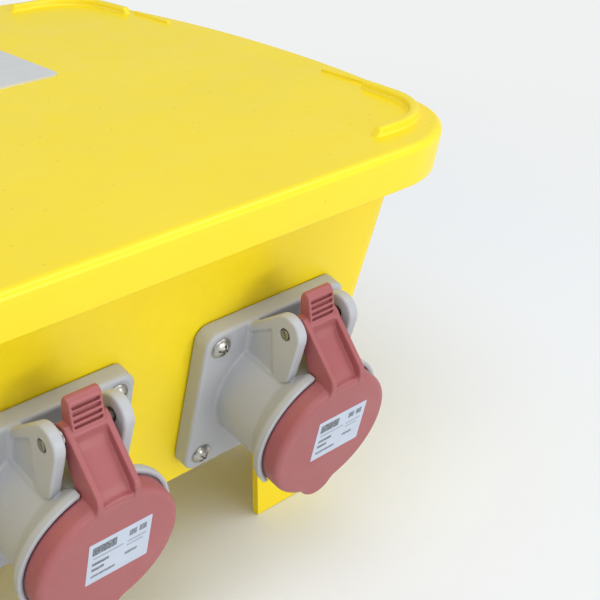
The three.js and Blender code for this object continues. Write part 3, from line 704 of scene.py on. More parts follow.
def cap_shape():
    g = Grid((-29.8, -34.9, 21.8), (29.8, 60.6, 51.8), 0.42)
    # disc and lip share one top plane, and their outlines blend
    solid = union(g.rho() - CAP_R, g.rho(0, -25.8) - 9.1, 2.2)
    solid = both(both(solid, g.z - CAP_TOP, 3.0), CAP_FOOT - g.z, 0.8)
    solid = union(solid, g.along_x(CAP_ARM, -9, 9, 0.5), 0.6)
    solid = union(solid, g.bar_x(4.9, -9, 9, PIN_V, PIN_W), 0.6)
    # sunken channel down the arm, between two rails
    at, length = edge_frame((34.4, 49.8), (50.3, 28.6))
    channel = [at(length - 3.2, 2.5), at(length - 4.2, -0.3), at(length - 6.4, -2.4),
               at(length - 9.5, -3.4), at(2, -4.0), at(-3.0, -5.0), at(-8.5, -4.2),
               at(-12, -1), at(-14, 4), at(0, 8)]
    cut = g.along_x(round_outline(channel, 0.8, 3), -6.5, 6.5, 0.3)
    # the disc stays whole under the channel
    cut = np.maximum(cut, -np.maximum(g.z - CAP_TOP, g.rho() - CAP_R))
    solid = minus(solid, cut, 0.45)
    # thumb tab with a framed, ribbed face
    tab = round_outline(THUMB_TAB, 0.8, 3)
    solid = union(solid, g.along_x(tab, -6.8, 6.8, 0.7), 0.3)
    at, length = edge_frame(THUMB_TAB[0], THUMB_TAB[1])
    panel = [at(1.5, 2), at(9.9, 2), at(9.9, -1.7), at(1.5, -1.7)]
    solid = minus(solid, g.along_x(panel, -5.75, 5.75, 0.3), 0.25)
    for t in (3.3, 5.7, 8.1):
        rib = [at(t - 0.42, 0.02), at(t + 0.42, 0.02), at(t + 0.42, -2.2), at(t - 0.42, -2.2)]
        solid = union(solid, g.along_x(rib, -6.2, 6.2, 0.12), 0.2)
    # hollow underside and the pin's hole
    dish = g.turned([(0, 30), (27.6, 30), (27.6, 46.0), (26.6, 46.8), (0, 46.8)])
    solid = minus(solid, dish, 0.4)
    solid = minus(solid, g.from_bar(PIN_V, PIN_W) - 2.5, 0.2)
    return skin(g, solid)


def insert_shape():
    g = Grid((-24.1, -24.1, -15.9), (24.1, 24.1, 30), 0.62)
    solid = g.turned([(0, -15.9), (24.0, -15.9), (24.0, -6), (20.8, -5), (20.8, 29.0),
                      (19.9, 29.9), (0, 29.9)])
    for degrees, radius in CONTACTS:
        rho = g.rho(*on_ring(degrees, CONTACT_RING_R))
        solid = minus(solid, np.maximum(rho - radius, 4 - g.z), 0.5)
        # shallow groove around the hole
        groove = np.maximum(np.abs(rho - (radius + 1.8)) - 0.35, 29.3 - g.z)
        solid = minus(solid, groove, 0.2)
    # keyway up one side, dimple in the middle
    solid = minus(solid, g.box(-2.2, 2.2, 18.6, 25, -4, 40), 0.3)
    solid = minus(solid, np.maximum(g.rho() - 4.4, 28.6 - g.z), 0.5)
    return skin(g, solid)


def screw_shape(head_r=4.8, head_h=2.9, stub=2.2, stub_r=1.9):
    """pan head with a cross recess on a short stub"""
    g = Grid((-head_r, -head_r, -stub), (head_r, head_r, head_h), 0.17)
    dome_r = (head_r * head_r + head_h * head_h) / (2 * head_h) * 1.06
    dome = np.sqrt(g.x ** 2 + g.y ** 2 + (g.z - (head_h - dome_r)) ** 2) - dome_r
    solid = both(dome, np.maximum(g.rho() - head_r, -g.z), 0.5)
    solid = union(solid, np.maximum(g.rho() - stub_r, -stub - g.z))
    solid = np.maximum(solid, g.z - head_h)
    across, along = np.abs(g.x), np.abs(g.y)
    floor_z = head_h - 2.5 + (across + along) * 0.30
    cross = np.minimum(np.maximum(across - 0.52, along - 2.8),
                       np.maximum(along - 0.52, across - 2.8))
    cross = np.minimum(cross, g.rho() - 0.9)
    return skin(g, minus(solid, np.maximum(cross, floor_z - g.z), 0.15))


def hinge_pin_shape():
    """pin with slotted ends"""
    g = Grid((-16.9, PIN_V - PIN_R, PIN_W - PIN_R), (16.9, PIN_V + PIN_R, PIN_W + PIN_R), 0.2)
    solid = both(g.bar_x(PIN_R, -PIN_HALF, PIN_HALF, PIN_V, PIN_W), np.abs(g.x) - PIN_HALF, 0.4)
    slot = np.abs(g.z - PIN_W + (g.y - PIN_V) * 0.6) - 0.32
    return skin(g, minus(solid, np.maximum(slot, 16.1 - np.abs(g.x)), 0.1))


def spring_shape(radius=3.5, wire_r=0.55, x0=-11.1, x1=-9.6, turns=2.25, steps=26):
    """wound spring about the hinge axis"""
    count = int(turns * steps)
    path = []
    for i in range(count + 1):
        angle = 2 * math.pi * i / steps
        path.append((x0 + (x1 - x0) * i / count, PIN_V + radius * math.cos(angle),
                     PIN_W + radius * math.sin(angle)))
    return sweep(path, wire_r, 10)


def sleeve_shape(radius):
    return lathe([(radius, 8), (radius, 26.2), (radius - 0.25, 26.6), (radius - 0.7, 26.4),
                  (radius - 0.7, 8)], 24)


housing = housing_shape()
cap = cap_shape()
insert = insert_shape()
screw = screw_shape()
hinge_pin = hinge_pin_shape()
spring = spring_shape()
cap_seal = lathe([(23.9, 43.6), (27.1, 43.6), (27.25, 44.0), (27.1, 45.6), (26, 46.0),
                  (25.4, 45.2), (24.4, 45.0), (23.9, 44.3)], 72)

CAP_LABEL = (-10.3, 16.7, -8.9, 12.7)  # u0, u1, v0, v1
CAP_BARS = [  # left, right, bottom, top, tone
    (0.06, 0.44, 0.70, 0.90, 0.85), (0.08, 0.56, 0.60, 0.635, 0.5),
    (0.64, 0.76, 0.74, 0.88, 0.75), (0.80, 0.92, 0.74, 0.88, 0.75),
    (0.62, 0.93, 0.60, 0.64, 0.45), (0.62, 0.88, 0.51, 0.55, 0.45),
    (0.07, 0.34, 0.44, 0.51, 0.8), (0.07, 0.27, 0.30, 0.37, 0.8),
    (0.07, 0.46, 0.14, 0.20, 0.75), (0.60, 0.80, 0.30, 0.37, 0.7)]
CAP_PRINT = printed("cap_label_print", paper=lin(190, 200, 216), ink=(0.02, 0.02, 0.024),
                    bars=CAP_BARS)


def make_outlet(side):
    face = face_matrix(OUTLET_X[side], -1)
    cap_body = "cap_" + side
    place("housing_" + side, housing, GREY, face,
          replaced="outlet_housing_" + side)
    place("flip_cap_" + side, cap, RED, face, cap_body, cap_body)
    place("insert_" + side, insert, BLACK, face,
          replaced="contact_insert_" + side)
    label_plate("cap_label_" + side, CAP_LABEL, base=CAP_TOP, thick=0.16, corner=0.6,
                material=CAP_PRINT, matrix=face, body=cap_body)
    fix_normals(place("cap_ring_seal_" + side, cap_seal, RUBBER, face,
                      cap_body, "cap_seal_" + side))
    place("hinge_pin_" + side, hinge_pin, PIN, face, replaced="cap_hinge_pin_" + side)
    fix_normals(place("torsion_spring_" + side, spring, STEEL, face,
                      replaced="cap_spring_" + side))
    number = 1
    for v in (SCREW_AT, -SCREW_AT):
        for u in (-SCREW_AT, SCREW_AT):
            turn = 0.35 + (number + 1) * 0.5
            at = face @ Matrix.Translation((u, v, 8.05)) @ Matrix.Rotation(turn, 4, "Z")
            place("pan_screw_%s_%d" % (side, number), screw, STEEL, at,
                  replaced="flange_screw_%s_%d" % (side, number))
            number += 1
    # brass sleeves in the insert's holes
    for i, (degrees, radius) in enumerate(CONTACTS):
        at = face @ Matrix.Translation((*on_ring(degrees, CONTACT_RING_R), 0))
        fix_normals(place("contact_sleeve_%s_%d" % (side, i + 1), sleeve_shape(radius - 0.2),
                          BRASS, at))
    soften("flange_gasket_" + side, RUBBER, width=0.0002, segments=1)


for side in OUTLET_X:
    make_outlet(side)

# --------------------------------------------------------------------- lid
LID_TOP, LID_RIM = 186.9, 167.4    # heights of the top and of the skirt's lower edge
LID_HALF_X, LID_HALF_Y = 234.0, 160.0
LID_CORNER_R, LID_BOW_R = 48.0, 569.0
TOP_EDGE_R = 3.4
SHRINK_FROM = 44.0                 # inset beyond which rings are scaled, not offset
QUADRANTS = ((1, -1), (-1, -1), (1, 1), (-1, 1))  # signs of x and y


def lid_outline(corner_steps=14, side_steps=14, edge_steps=26):
    """anticlockwise from the middle of the right end: bowed ends, straight front and back"""
    bow_x = LID_HALF_X - LID_BOW_R
    corner_y = LID_HALF_Y - LID_CORNER_R
    reach = LID_BOW_R - LID_CORNER_R
    corner_x = bow_x + math.sqrt(reach ** 2 - corner_y ** 2)
    meet = math.asin(corner_y / reach)
    quarter = []
    for i in range(1, side_steps + 1):
        angle = meet * (i - 0.5) / side_steps
        quarter.append((bow_x + LID_BOW_R * math.cos(angle), LID_BOW_R * math.sin(angle)))
    for i in range(corner_steps + 1):
        angle = meet + (math.pi / 2 - meet) * i / corner_steps
        quarter.append((corner_x + LID_CORNER_R * math.cos(angle),
                        corner_y + LID_CORNER_R * math.sin(angle)))
    for i in range(1, edge_steps):
        quarter.append((corner_x * (1 - i / edge_steps), LID_HALF_Y))
    upper = quarter + [(0.0, LID_HALF_Y)] + [(-x, y) for x, y in reversed(quarter)]
    return upper + [(x, -y) for x, y in reversed(upper)]


def inset_loop(outline, inset):
    points = np.array(outline, float)
    tangent = np.roll(points, -1, 0) - np.roll(points, 1, 0)
    tangent /= np.linalg.norm(tangent, axis=1)[:, None]
    outward = np.stack([tangent[:, 1], -tangent[:, 0]], 1)
    return points - outward * inset


def lid_shape():
    # rings up the outside and in over the top, then back out and down inside: inset, z
    outer = [(3.3, LID_RIM), (2.85, LID_RIM + 0.25), (2.7, LID_RIM + 0.8)]
    for i in range(1, 6):
        t = i / 6
        outer.append((2.7 * (1 - t),
                      LID_RIM + 0.8 + (LID_TOP - TOP_EDGE_R - LID_RIM - 0.8) * t))
    for i in range(9):
        angle = math.pi / 2 * i / 8
        outer.append((TOP_EDGE_R * (1 - math.cos(angle)),
                      LID_TOP - TOP_EDGE_R + TOP_EDGE_R * math.sin(angle)))
    outer += [(inset, LID_TOP) for inset in (9, 22, 44, 70, 100, 130)]
    inner = [(130, LID_TOP - 4), (60, LID_TOP - 4), (20, LID_TOP - 4), (7.0, LID_TOP - 4.2),
             (5.2, LID_TOP - 5.4), (5.0, LID_TOP - 8), (6.3, LID_RIM + 0.8),
             (6.1, LID_RIM + 0.2), (5.6, LID_RIM)]
    outline = lid_outline()
    count = len(outline)
    points, faces = [], []
    levels = outer + inner
    for inset, z in levels:
        if inset < 45:
            loop = inset_loop(outline, inset)
        else:
            scale = 1 - (inset - SHRINK_FROM) / (LID_HALF_Y - SHRINK_FROM) * 0.98
            loop = inset_loop(outline, SHRINK_FROM) * np.array([[1 - (1 - scale) * 0.75, scale]])
        points.extend((x, y, z) for x, y in loop)
    last = len(outer) - 1
    for k in range(len(levels)):
        if k != last:
            faces += bridge(k * count, (k + 1) % len(levels) * count, count)
    faces.append(tuple(last * count + i for i in range(count)))
    faces.append(tuple((last + 1) * count + i for i in reversed(range(count))))
    return points, faces


RIB_HALF, RIB_HEIGHT = 3.9 / 2, 3.6
RIB_LINE_Y = 142.75 - RIB_HALF     # middle line of the short leg along x
RIB_START_X, RIB_BEND_X = 171.3, 183.2
RIB_BEND_R = 31.2
RIB_LEAN = 0.06                    # rad, the long leg leans off the y axis
RIB_END_Y = 92.5
RIB_SIDE = [  # across, height: one side from its soft foot to the crown
    (-RIB_HALF - 1.6, -0.35), (-RIB_HALF - 0.9, 0.02), (-RIB_HALF - 0.35, 0.35),
    (-RIB_HALF - 0.05, 0.95), (-RIB_HALF, 1.6), (-RIB_HALF + 0.05, RIB_HEIGHT - 0.8),
    (-RIB_HALF + 0.3, RIB_HEIGHT - 0.25), (-RIB_HALF + 0.8, RIB_HEIGHT)]
RIB_ENDS = [  # distance inwards from the end of the path, share of the full height
    (-1.9, 0.0), (-1.0, 0.12), (-0.2, 0.45), (0.35, 0.85), (1.0, 1.0)]


def rib_shape(sign_x, sign_y):
    """raised angle on a corner of the lid, with sloping ends"""
    path = [(RIB_START_X + (RIB_BEND_X - RIB_START_X) * i / 9, RIB_LINE_Y) for i in range(9)]
    for i in range(25):
        angle = math.pi / 2 - (math.pi / 2 - RIB_LEAN) * i / 24
        path.append((RIB_BEND_X + RIB_BEND_R * math.cos(angle),
                     RIB_LINE_Y - RIB_BEND_R + RIB_BEND_R * math.sin(angle)))
    bend_x, bend_y = path[-1]
    cosine, sine = math.cos(RIB_LEAN), math.sin(RIB_LEAN)
    length = (bend_y - RIB_END_Y) / cosine
    for i in range(1, 16):
        path.append((bend_x + sine * length * i / 15, bend_y - cosine * length * i / 15))
    path = np.array(path)
    tangent = np.gradient(path, axis=0)
    tangent /= np.linalg.norm(tangent, axis=1)[:, None]
    normal = np.stack([-tangent[:, 1], tangent[:, 0]], 1)
    profile = RIB_SIDE + [(-across, z) for across, z in reversed(RIB_SIDE)]

    # stations: middle, direction across, share of the height
    stations = [(path[0] + tangent[0] * t, normal[0], share) for t, share in RIB_ENDS]
    stations += [(path[i], normal[i], 1.0) for i in range(1, len(path) - 1)]
    stations += [(path[-1] - tangent[-1] * t, normal[-1], share)
                 for t, share in reversed(RIB_ENDS)]
    points, faces = [], []
    for middle, across_way, share in stations:
        sunk = 0.0 if share > 0 else 0.35
        for across, z in profile:
            x, y = middle + across_way * (across * (0.75 + 0.25 * share))
            height = z if z < 0 else z * share
            points.append((sign_x * x, sign_y * y, LID_TOP + (height - sunk)))
    count = len(profile)
    for k in range(len(stations) - 1):
        faces += bridge(k * count, (k + 1) * count, count)
    faces.append(tuple(range(count)))
    faces.append(tuple((len(stations) - 1) * count + j for j in reversed(range(count))))
    return points, faces


def ledge_shape():
    """low bar along y, rounded on top and at its ends, with a soft foot"""
    g = Grid((-1.6, -15.6, -0.6), (1.6, 15.6, 1.7), 0.25)
    solid = g.box(-1.1, 1.1, -15, 15, -2.0, 1.55, 0.5)
    solid = union(solid, g.z + 0.25, 0.7)
    sides = np.maximum(np.abs(g.x) - 1.55, np.abs(g.y) - 15.55)
    return skin(g, np.maximum(np.maximum(solid, -0.5 - g.z), sides))


lid = place("lid_cover", lid_shape(), YELLOW_LID, TUB_FRAME, replaced="lid")
fix_normals(lid)
shade(lid)

for i, signs in enumerate(QUADRANTS):
    fix_normals(place("stacking_rib_%d" % (i + 1), rib_shape(*signs), YELLOW_LID, TUB_FRAME))

# a ledge by each rib's long leg
LEDGE_X, LEDGE_Y = 219.7, 75.0
ledge_points, ledge_faces = ledge_shape()
for i, (sign_x, sign_y) in enumerate(QUADRANTS):
    shift = np.array((sign_x * LEDGE_X, sign_y * LEDGE_Y, LID_TOP))
    place("stacking_ledge_%d" % (i + 1), (ledge_points + shift, ledge_faces), YELLOW_LID,
          TUB_FRAME)

# bosses under the lid over the screw lugs, each screw pointing up into its boss
LUG_Z = 166
BOSS_X, BOSS_Y = end_wall_x(LUG_Z) + 8, 92
boss = lathe([(0, 183.2), (6.8, 183.2), (6.2, 180), (6, 173.0), (5.6, 172.4), (2.3, 172.4),
              (2.3, 181), (0, 181)], 32)
number = 1
for sign_y in (-1, 1):
    for sign_x in (-1, 1):
        x, y = sign_x * BOSS_X, sign_y * BOSS_Y
        fix_normals(place("lid_boss_%d" % number, boss, YELLOW,
                          TUB_FRAME @ Matrix.Translation((x, y, 0))))
        at = (TUB_FRAME @ Matrix.Translation((x, y, LUG_Z - 0.1))
              @ Matrix.Rotation(math.pi, 4, "X") @ Matrix.Rotation(0.4 * number, 4, "Z")
              @ Matrix.Scale(0.9, 4))
        place("lid_fixing_screw_%d" % number, screw, STEEL, at,
              replaced="lid_screw_%d" % number)
        number += 1

# rating plate on the lid: a column of blocks and five rows in two columns
PLATE_BARS = [  # left, right, bottom, top, tone
    (0.04, 0.30, 0.72, 0.88, 0.7), (0.04, 0.22, 0.52, 0.60, 0.5),
    (0.04, 0.34, 0.36, 0.44, 0.5), (0.04, 0.28, 0.20, 0.28, 0.5)]
for row in range(5):
    y = 0.78 - row * 0.155
    PLATE_BARS += [(0.42, 0.56, y, y + 0.06, 0.55),
                   (0.60, 0.86 - 0.04 * (row % 3), y, y + 0.06, 0.65)]
PLATE_PRINT = printed("rating_plate_print", paper=lin(206, 208, 208), ink=(0.09, 0.09, 0.10),
                      bars=PLATE_BARS, rough=0.36)
to_tub = TUB_FRAME.inverted()
plate_lo, plate_hi = (to_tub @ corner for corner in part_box("rating_plate"))
rating_plate = label_plate(
    "rating_label", (plate_lo.x, plate_hi.x, plate_lo.y, plate_hi.y), base=plate_lo.z - 0.3,
    thick=plate_hi.z - plate_lo.z - 0.2, corner=4, material=PLATE_PRINT, matrix=TUB_FRAME)
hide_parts("rating_plate")

# ---------------------------------------------- tub, back window and rail
soften("body_tub", YELLOW, width=0.0012, segments=3, angle=28)
paint("lid_seal", RUBBER)
soften("window_frame", DARK, width=0.0005, segments=2)
shade(paint("window_hinge_pin", STEEL))
soften("window_flap", clear_plastic("clear_window_plastic"), width=0.0004, segments=2)
soften("din_rail", STEEL, width=0.0002, segments=1)
for side in ("left", "right"):
    soften("rail_bracket_" + side, STEEL, width=0.0003, segments=1)

# ----------------------------------------------------------------- breakers
# In the back face's coordinates, where u runs towards -X.
UNIT_W = -66.0                     # level the units' heights are counted from
UNIT_TOP = 60
BREAKER_WIDTH, RCD_WIDTH = 51.9, 69.4
BREAKER_U = [17.8 - 52.8 * i for i in range(3)]
RCD_U = 79.35
RCD_LEVER = -16                    # lever's middle from the unit's
BREAKER_SLOT, RCD_SLOT = 21, 8     # half widths of the lever slots
LEVER_PLAY = 0.1
TERMINAL_V = 32
UNIT_PROFILE = [  # v, height
    (-42, 9), (-42, 47), (-40.5, 48), (-23.5, 48), (-22.5, 60), (22.5, 60), (23.5, 48),
    (40.5, 48), (42, 47), (42, 9), (18.6, 9), (18.6, 5.8), (18.2, 5.8), (17.9, 7.9),
    (-17.9, 7.9), (-18.2, 5.8), (-18.6, 5.8), (-18.6, 9)]
LEVER_SLOT = [(-9.5, 50), (-9.5, 64), (9.5, 64), (9.5, 50), (7, 46.5), (-7, 46.5)]  # v, height


def raised(outline):
    return [(v, UNIT_W + height) for v, height in outline]


def unit_shape(width, lever_u, slot_half, button=None, poles=3):
    """case with a lever slot, seams between poles and screws sunk in terminal holes"""
    g = Grid((-width / 2, -42, UNIT_W + 5.6), (width / 2, 42, UNIT_W + UNIT_TOP), 0.7)
    solid = g.along_x(raised(UNIT_PROFILE), -width / 2, width / 2, 0.5)
    slot = g.along_x(raised(LEVER_SLOT), lever_u - slot_half - 0.5, lever_u + slot_half + 0.5)
    solid = minus(solid, slot, 0.4)
    if button is not None:
        well = g.box(button - 5, button + 5, -5, 5, UNIT_W + 52, UNIT_W + 66, 1.0)
        solid = minus(solid, well, 0.4)
    pitch = width / poles
    for i in range(poles):
        u = -width / 2 + pitch * (i + 0.5)
        if i:
            seam = np.abs(g.x - (u - pitch / 2)) - 0.25
            solid = minus(solid, np.maximum(seam, -(solid + 0.6)))
        for v in (-TERMINAL_V, TERMINAL_V):
            rho = g.rho(u, v)
            solid = minus(solid, np.maximum(rho - 3.2, UNIT_W + 43 - g.z), 0.3)
            head = np.maximum(np.maximum(rho - 2.7, g.z - (UNIT_W + 45)), UNIT_W + 42 - g.z)
            groove = np.maximum(np.abs(g.y - v) - 0.45, UNIT_W + 44.2 - g.z)
            solid = union(solid, minus(head, groove))
    return skin(g, solid)


def lever_shape(half, tilt=0.58):
    """drum with a tapering handle, tilted towards +v, grooved on its +v side"""
    axis_w = UNIT_W + 54
    cosine, sine = math.cos(tilt), math.sin(tilt)

    def turned(y, z):
        return 0 + y * cosine + z * sine, axis_w - y * sine + z * cosine

    g = Grid((-half, -7.5, UNIT_W + 47), (half, 11, UNIT_W + 68.5), 0.5)
    handle = [turned(y, z) for y, z in ((-2.7, 1), (-2.1, 13.2), (-1.2, 14), (1.2, 14),
                                        (2.1, 13.2), (2.7, 1))]
    solid = g.bar_x(6.2, -half, half, 0, axis_w)
    solid = union(solid, g.along_x(handle, -half, half, 0.4), 1.4)
    solid = both(solid, np.abs(g.x) - half, 0.5)
    for k in range(3):
        solid = minus(solid, g.from_bar(*turned(2.4, 8.0 + 2.0 * k)) - 0.5, 0.2)
    return skin(g, solid)


BACK_FACE = face_matrix(TUB_X, 1)


def at_u(u):
    return BACK_FACE @ Matrix.Translation((u, 0, 0))


breaker = unit_shape(BREAKER_WIDTH, 0, BREAKER_SLOT)
rcd = unit_shape(RCD_WIDTH, RCD_LEVER, RCD_SLOT, button=14, poles=4)
place("rcd_case", rcd, WHITE, at_u(RCD_U), replaced="rcd_body")
for i, u in enumerate(BREAKER_U):
    place("breaker_case_%d" % (i + 1), breaker, WHITE, at_u(u),
          replaced="breaker_%d_body" % (i + 1))

wide_lever = lever_shape(BREAKER_SLOT - LEVER_PLAY)
narrow_lever = lever_shape(RCD_SLOT - LEVER_PLAY)
place("rcd_toggle", narrow_lever, LEVER, at_u(RCD_U + RCD_LEVER),
      "rcd_lever", "rcd_lever")
for i, u in enumerate(BREAKER_U):
    body = "breaker_%d_lever" % (i + 1)
    place("breaker_toggle_%d" % (i + 1), wide_lever, LEVER, at_u(u), body, body)
soften("rcd_test_button", AMBER, width=0.0004, segments=2)

MARKING_BARS = [  # left, right, bottom, top, tone
    (0.08, 0.5, 0.55, 0.8, 0.8), (0.08, 0.7, 0.2, 0.38, 0.5), (0.78, 0.92, 0.2, 0.8, 0.6)]
MARKING_PRINT = printed("breaker_print", paper=lin(222, 222, 218), ink=(0.10, 0.10, 0.11),
                        bars=MARKING_BARS)
markings = [("rcd_marking", 55.5, 84.5)]
markings += [("breaker_marking_%d" % (i + 1), u - 20, u + 20) for i, u in enumerate(BREAKER_U)]
for name, u0, u1 in markings:
    label_plate(name, (u0, u1, 12.5, 20), base=UNIT_W + UNIT_TOP, thick=0.12, corner=0.5,
                material=MARKING_PRINT, matrix=BACK_FACE)

# ----------------------------------------------------- gland, lead and plug
GLAND_Z = 92.0
GLAND_X = -end_wall_x(GLAND_Z)
PLUG_PIN_RING_R = 14
PLUG_PINS = [(90, 3.5), (162, 3), (234, 3), (306, 3), (18, 3)]  # degrees, radius
LEAD = [  # x from the gland's seat, y, z of the lead's middle line
    (26, 0, 92), (8, 0, 92), (-14, 0, 92), (-34, 0, 90.5), (-52, 0, 80), (-61, 2, 58),
    (-66, 12, 30), (-70, 34, 11.5), (-71, 56, 8.8), (-71, 76, 9.4), (-71, 95.5, 13.6)]
PLUG_BODY = [  # radius, z along the plug from the cable
    (0, 0), (12.6, 0), (14, 2.5), (14, 14), (17, 20), (24, 40), (26, 46), (26, 62), (29.5, 63),
    (29.5, 74), (27, 75), (27, 104), (0, 104)]


def gland_base_shape():
    """threaded part's envelope with a hexagon, bored through"""
    g = Grid((-17, -17, -9), (17, 17, 27), 0.5)
    solid = g.along_z(g.rho() - 12.5, -9, 6)
    solid = union(solid, g.along_z(g.hexagon(14.7), 1.9, 7.6, 0.8))
    solid = union(solid, g.turned([(0, 6.5), (12.2, 6.5), (12.2, 18), (0, 18)]))
    return skin(g, minus(solid, g.rho() - 8.6))


def gland_nut_shape():
    """hexagon and a fluted dome, hollow"""
    g = Grid((-17, -17, 8), (17, 17, 27), 0.5)
    solid = both(g.along_z(g.hexagon(14.4), 8, 17.2, 0.8), g.rho() - 16.2, 0.8)
    dome = g.turned([(0, 15), (14.0, 15), (13.6, 22), (12.6, 24.8), (10.8, 26.9), (0, 26.9)])
    solid = union(solid, dome, 0.6)
    flutes = np.maximum(g.flutes(24) * 3.6 - 0.6, 13.2 - g.rho())
    solid = minus(solid, flutes + np.maximum(17.6 - g.z, 0) * 2, 0.2)
    solid = minus(solid, np.maximum(g.rho() - 12.7, g.z - 20))
    return skin(g, minus(solid, g.rho() - 8.7, 0.5))


def curve_through(stations, steps=140):
    """centripetal curve through the stations"""
    stations = np.array(stations, float)
    extended = np.vstack([2 * stations[0] - stations[1], stations,
                          2 * stations[-1] - stations[-2]])
    spans = len(stations) - 1
    out = []
    for k in range(steps + 1):
        along = k / steps * spans
        i = min(int(along), spans - 1)
        t = along - i
        before, start, end, after = extended[i:i + 4]
        gap0, gap1, gap2 = [np.linalg.norm(extended[j + 1] - extended[j]) ** 0.5
                            for j in range(i, i + 3)]
        leave = ((start - before) / gap0 - (end - before) / (gap0 + gap1)
                 + (end - start) / gap1) * gap1
        arrive = ((end - start) / gap1 - (after - start) / (gap1 + gap2)
                  + (after - end) / gap2) * gap1
        square = -3 * start + 3 * end - 2 * leave - arrive
        cube = 2 * start - 2 * end + leave + arrive
        out.append(start + leave * t + square * t * t + cube * t ** 3)
    return np.array(out)


def plug_shape():
    g = Grid((-29.5, -29.5, 0), (29.5, 29.5, 104), 0.85)
    solid = g.turned(PLUG_BODY)
    # flutes around the grip and around the cable end
    grip = np.maximum(g.flutes(18) * 8 - 1.6, 24.6 - g.rho())
    solid = minus(solid, np.maximum(grip, np.abs(g.z - 54) - 7) * 0.6, 0.6)
    tail = np.maximum(g.flutes(12) * 6 - 1.2, 13.0 - g.rho())
    solid = minus(solid, np.maximum(tail, np.abs(g.z - 8) - 4.5) * 0.6, 0.4)
    # open shroud with a key along its outside
    solid = minus(solid, np.maximum(g.rho() - 24, 76 - g.z), 0.5)
    return skin(g, union(solid, g.box(-2, 2, 26, 29.0, 76, 103, 0.8), 0.8))


# the gland's own z points out of the end wall, towards -X
gland_frame = (TUB_FRAME @ Matrix.Translation((GLAND_X, 0, GLAND_Z))
               @ Matrix.Rotation(-math.pi / 2, 4, "Y"))
place("gland_base", gland_base_shape(), BLACK, gland_frame,
      replaced="gland_body")
place("gland_cap_nut", gland_nut_shape(), BLACK, gland_frame,
      replaced="gland_nut")

lead_path = curve_through([(GLAND_X + x, y, z) for x, y, z in LEAD])
fix_normals(place("supply_cable", sweep(lead_path, 7.9, 28), CABLE, TUB_FRAME,
                  replaced="supply_lead"))

# the plug's own z points to the back, its open end a little raised
plug_frame = (TUB_FRAME @ Matrix.Translation((GLAND_X - 71, 96.5, 15.2))
              @ Matrix.Rotation(-math.pi / 2 + 0.225, 4, "X"))
place("supply_plug_shell", plug_shape(), PLUG, plug_frame, replaced="supply_plug")
plug_face = lathe([(0, 76.2), (23.4, 76.2), (23.6, 77.8), (23.0, 78.4), (0, 78.4)], 64)
fix_normals(place("plug_face", plug_face, BLACK, plug_frame))
for i, (degrees, radius) in enumerate(PLUG_PINS):
    plug_pin = lathe([(0, 78), (radius, 78), (radius, 98.4), (radius - 0.5, 99.5),
                      (radius - 1.4, 100), (0, 100)], 24)
    at = plug_frame @ Matrix.Translation((*on_ring(degrees, PLUG_PIN_RING_R), 0))
    fix_normals(place("plug_pin_%d" % (i + 1), plug_pin, BRASS, at))

# ------------------------------------------------------------------- studio
BACKDROP = (0.872, 0.886, 0.880)
FLOOR_SIZE = 60
FLOOR_DROP = 0.0003                # keeps the floor just below what stands on it
SWEEP_START, SWEEP_END = 0.22, 0.9  # distances over which the floor turns into backdrop


def floor_material():
    n = Nodes("floor_paint")
    n.feed(Base_Color=n.mix(n.mottle(scale=3, detail=3, start=0.3, end=0.7),
                            (0.852, 0.874, 0.912), (0.860, 0.882, 0.920)),
           Roughness=0.6, Specular_IOR_Level=0.2)
    coords = n.object_coords()
    length = n.new("ShaderNodeVectorMath", {0: coords}, operation="LENGTH")
    away = n.ramp(length.outputs["Value"], start=SWEEP_START, end=SWEEP_END,
                  interpolation="SMOOTHSTEP")
    glow = n.new("ShaderNodeEmission", {"Color": BACKDROP})
    blend = n.new("ShaderNodeMixShader", {0: away, 1: n.principled.outputs[0],
                                          2: glow.outputs[0]})
    n.put(n.tree.nodes["Material Output"].inputs["Surface"], blend.outputs[0])
    return n.material


def make_floor():
    mesh = bpy.data.meshes.new("floor")
    grid = bmesh.new()
    bmesh.ops.create_grid(grid, x_segments=8, y_segments=8, size=FLOOR_SIZE)
    grid.to_mesh(mesh)
    grid.free()
    floor = bpy.data.objects.new("floor", mesh)
    scene.collection.objects.link(floor)
    floor.location = (0, 0, -FLOOR_DROP)
    mesh.materials.append(floor_material())


def make_world():
    """soft light all around, while the camera sees the plain backdrop"""
    world = bpy.data.worlds.new("studio")
    scene.world = world
    world.use_nodes = True
    tree = world.node_tree
    light = tree.nodes["Background"]
    light.inputs["Color"].default_value = (0.94, 0.97, 1.0, 1)
    light.inputs["Strength"].default_value = 0.58
    seen = tree.nodes.new("ShaderNodeBackground")
    seen.inputs["Color"].default_value = (*BACKDROP, 1)
    path = tree.nodes.new("ShaderNodeLightPath")
    blend = tree.nodes.new("ShaderNodeMixShader")
    tree.links.new(path.outputs["Is Camera Ray"], blend.inputs[0])
    tree.links.new(light.outputs[0], blend.inputs[1])
    tree.links.new(seen.outputs[0], blend.inputs[2])
    tree.links.new(blend.outputs[0], tree.nodes["World Output"].inputs["Surface"])


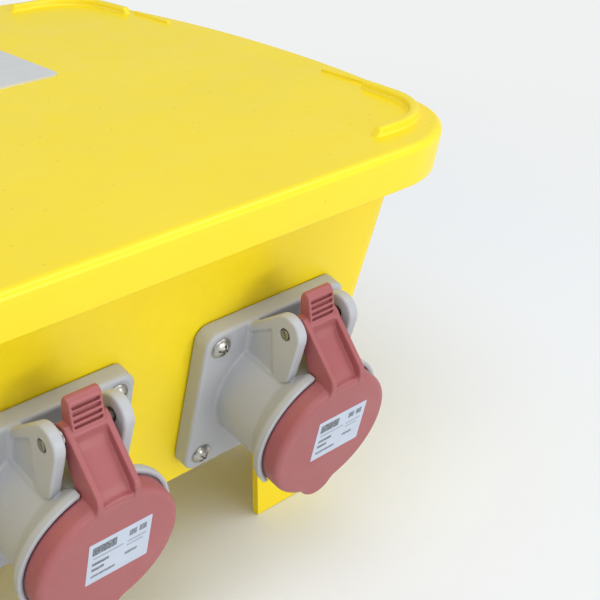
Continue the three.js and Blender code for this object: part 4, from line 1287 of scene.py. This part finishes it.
def area(name, location, power, size, height=None, target=(0, 0, 0.1), color=(1, 1, 1)):
    """area light aimed at target: a disc, or a rectangle where a height is given"""
    light = bpy.data.lights.new(name, "AREA")
    light.shape = "RECTANGLE" if height else "DISK"
    light.size = size
    if height:
        light.size_y = height
    light.energy = power
    light.color = color
    obj = bpy.data.objects.new(name, light)
    scene.collection.objects.link(obj)
    obj.location = location
    aim = Vector(target) - Vector(location)
    obj.rotation_euler = aim.to_track_quat("-Z", "Y").to_euler()


make_floor()
make_world()
area("key", (1.15, -0.8, 1.75), power=8.3, size=1.1, color=(1, 0.985, 0.96))
area("top", (-0.55, -0.8, 2.05), power=17, size=1.7)
area("front", (0.45, -2.1, 0.32), power=14.8, size=1.6, height=0.5, target=(0.05, 0, 0.1),
     color=(1, 0.99, 0.98))
area("left", (-1.9, -1.1, 0.9), power=3.0, size=1.2, color=(1, 0.99, 0.97))
area("back", (-1.1, 2.0, 0.75), power=4.5, size=1.2)

# ------------------------------------------------------------------- camera
CAMERA_AT = (-186.080, -465.527, 359.503)  # mm from the tub's middle, z from the floor
CAMERA_YAW = 0.76800251452         # rad, from +Y towards +X
CAMERA_PITCH = 0.47948536474       # rad, downwards
CAMERA_ROLL = -0.007329012783      # rad
SENSOR_WIDTH, LENS = 36, 72.630558  # mm


def make_camera():
    at = Vector((CAMERA_AT[0] + TUB_X, CAMERA_AT[1] + TUB_Y, CAMERA_AT[2])) * 0.001
    forward = Vector((math.sin(CAMERA_YAW) * math.cos(CAMERA_PITCH),
                      math.cos(CAMERA_YAW) * math.cos(CAMERA_PITCH), -math.sin(CAMERA_PITCH)))
    level_right = Vector((math.cos(CAMERA_YAW), -math.sin(CAMERA_YAW), 0))
    level_down = forward.cross(level_right)
    cosine, sine = math.cos(CAMERA_ROLL), math.sin(CAMERA_ROLL)
    right = level_right * cosine + level_down * sine
    up = level_right * sine - level_down * cosine
    data = bpy.data.cameras.new("camera")
    data.sensor_width = SENSOR_WIDTH
    data.lens = LENS
    data.clip_start, data.clip_end = 0.02, 300
    camera = bpy.data.objects.new("camera", data)
    scene.collection.objects.link(camera)
    rows = [(right[i], up[i], -forward[i], at[i]) for i in range(3)]
    camera.matrix_world = Matrix((*rows, (0, 0, 0, 1)))
    scene.camera = camera


make_camera()
scene.view_settings.view_transform = "Standard"
scene.view_settings.look = "None"
scene.view_settings.exposure = 0.0
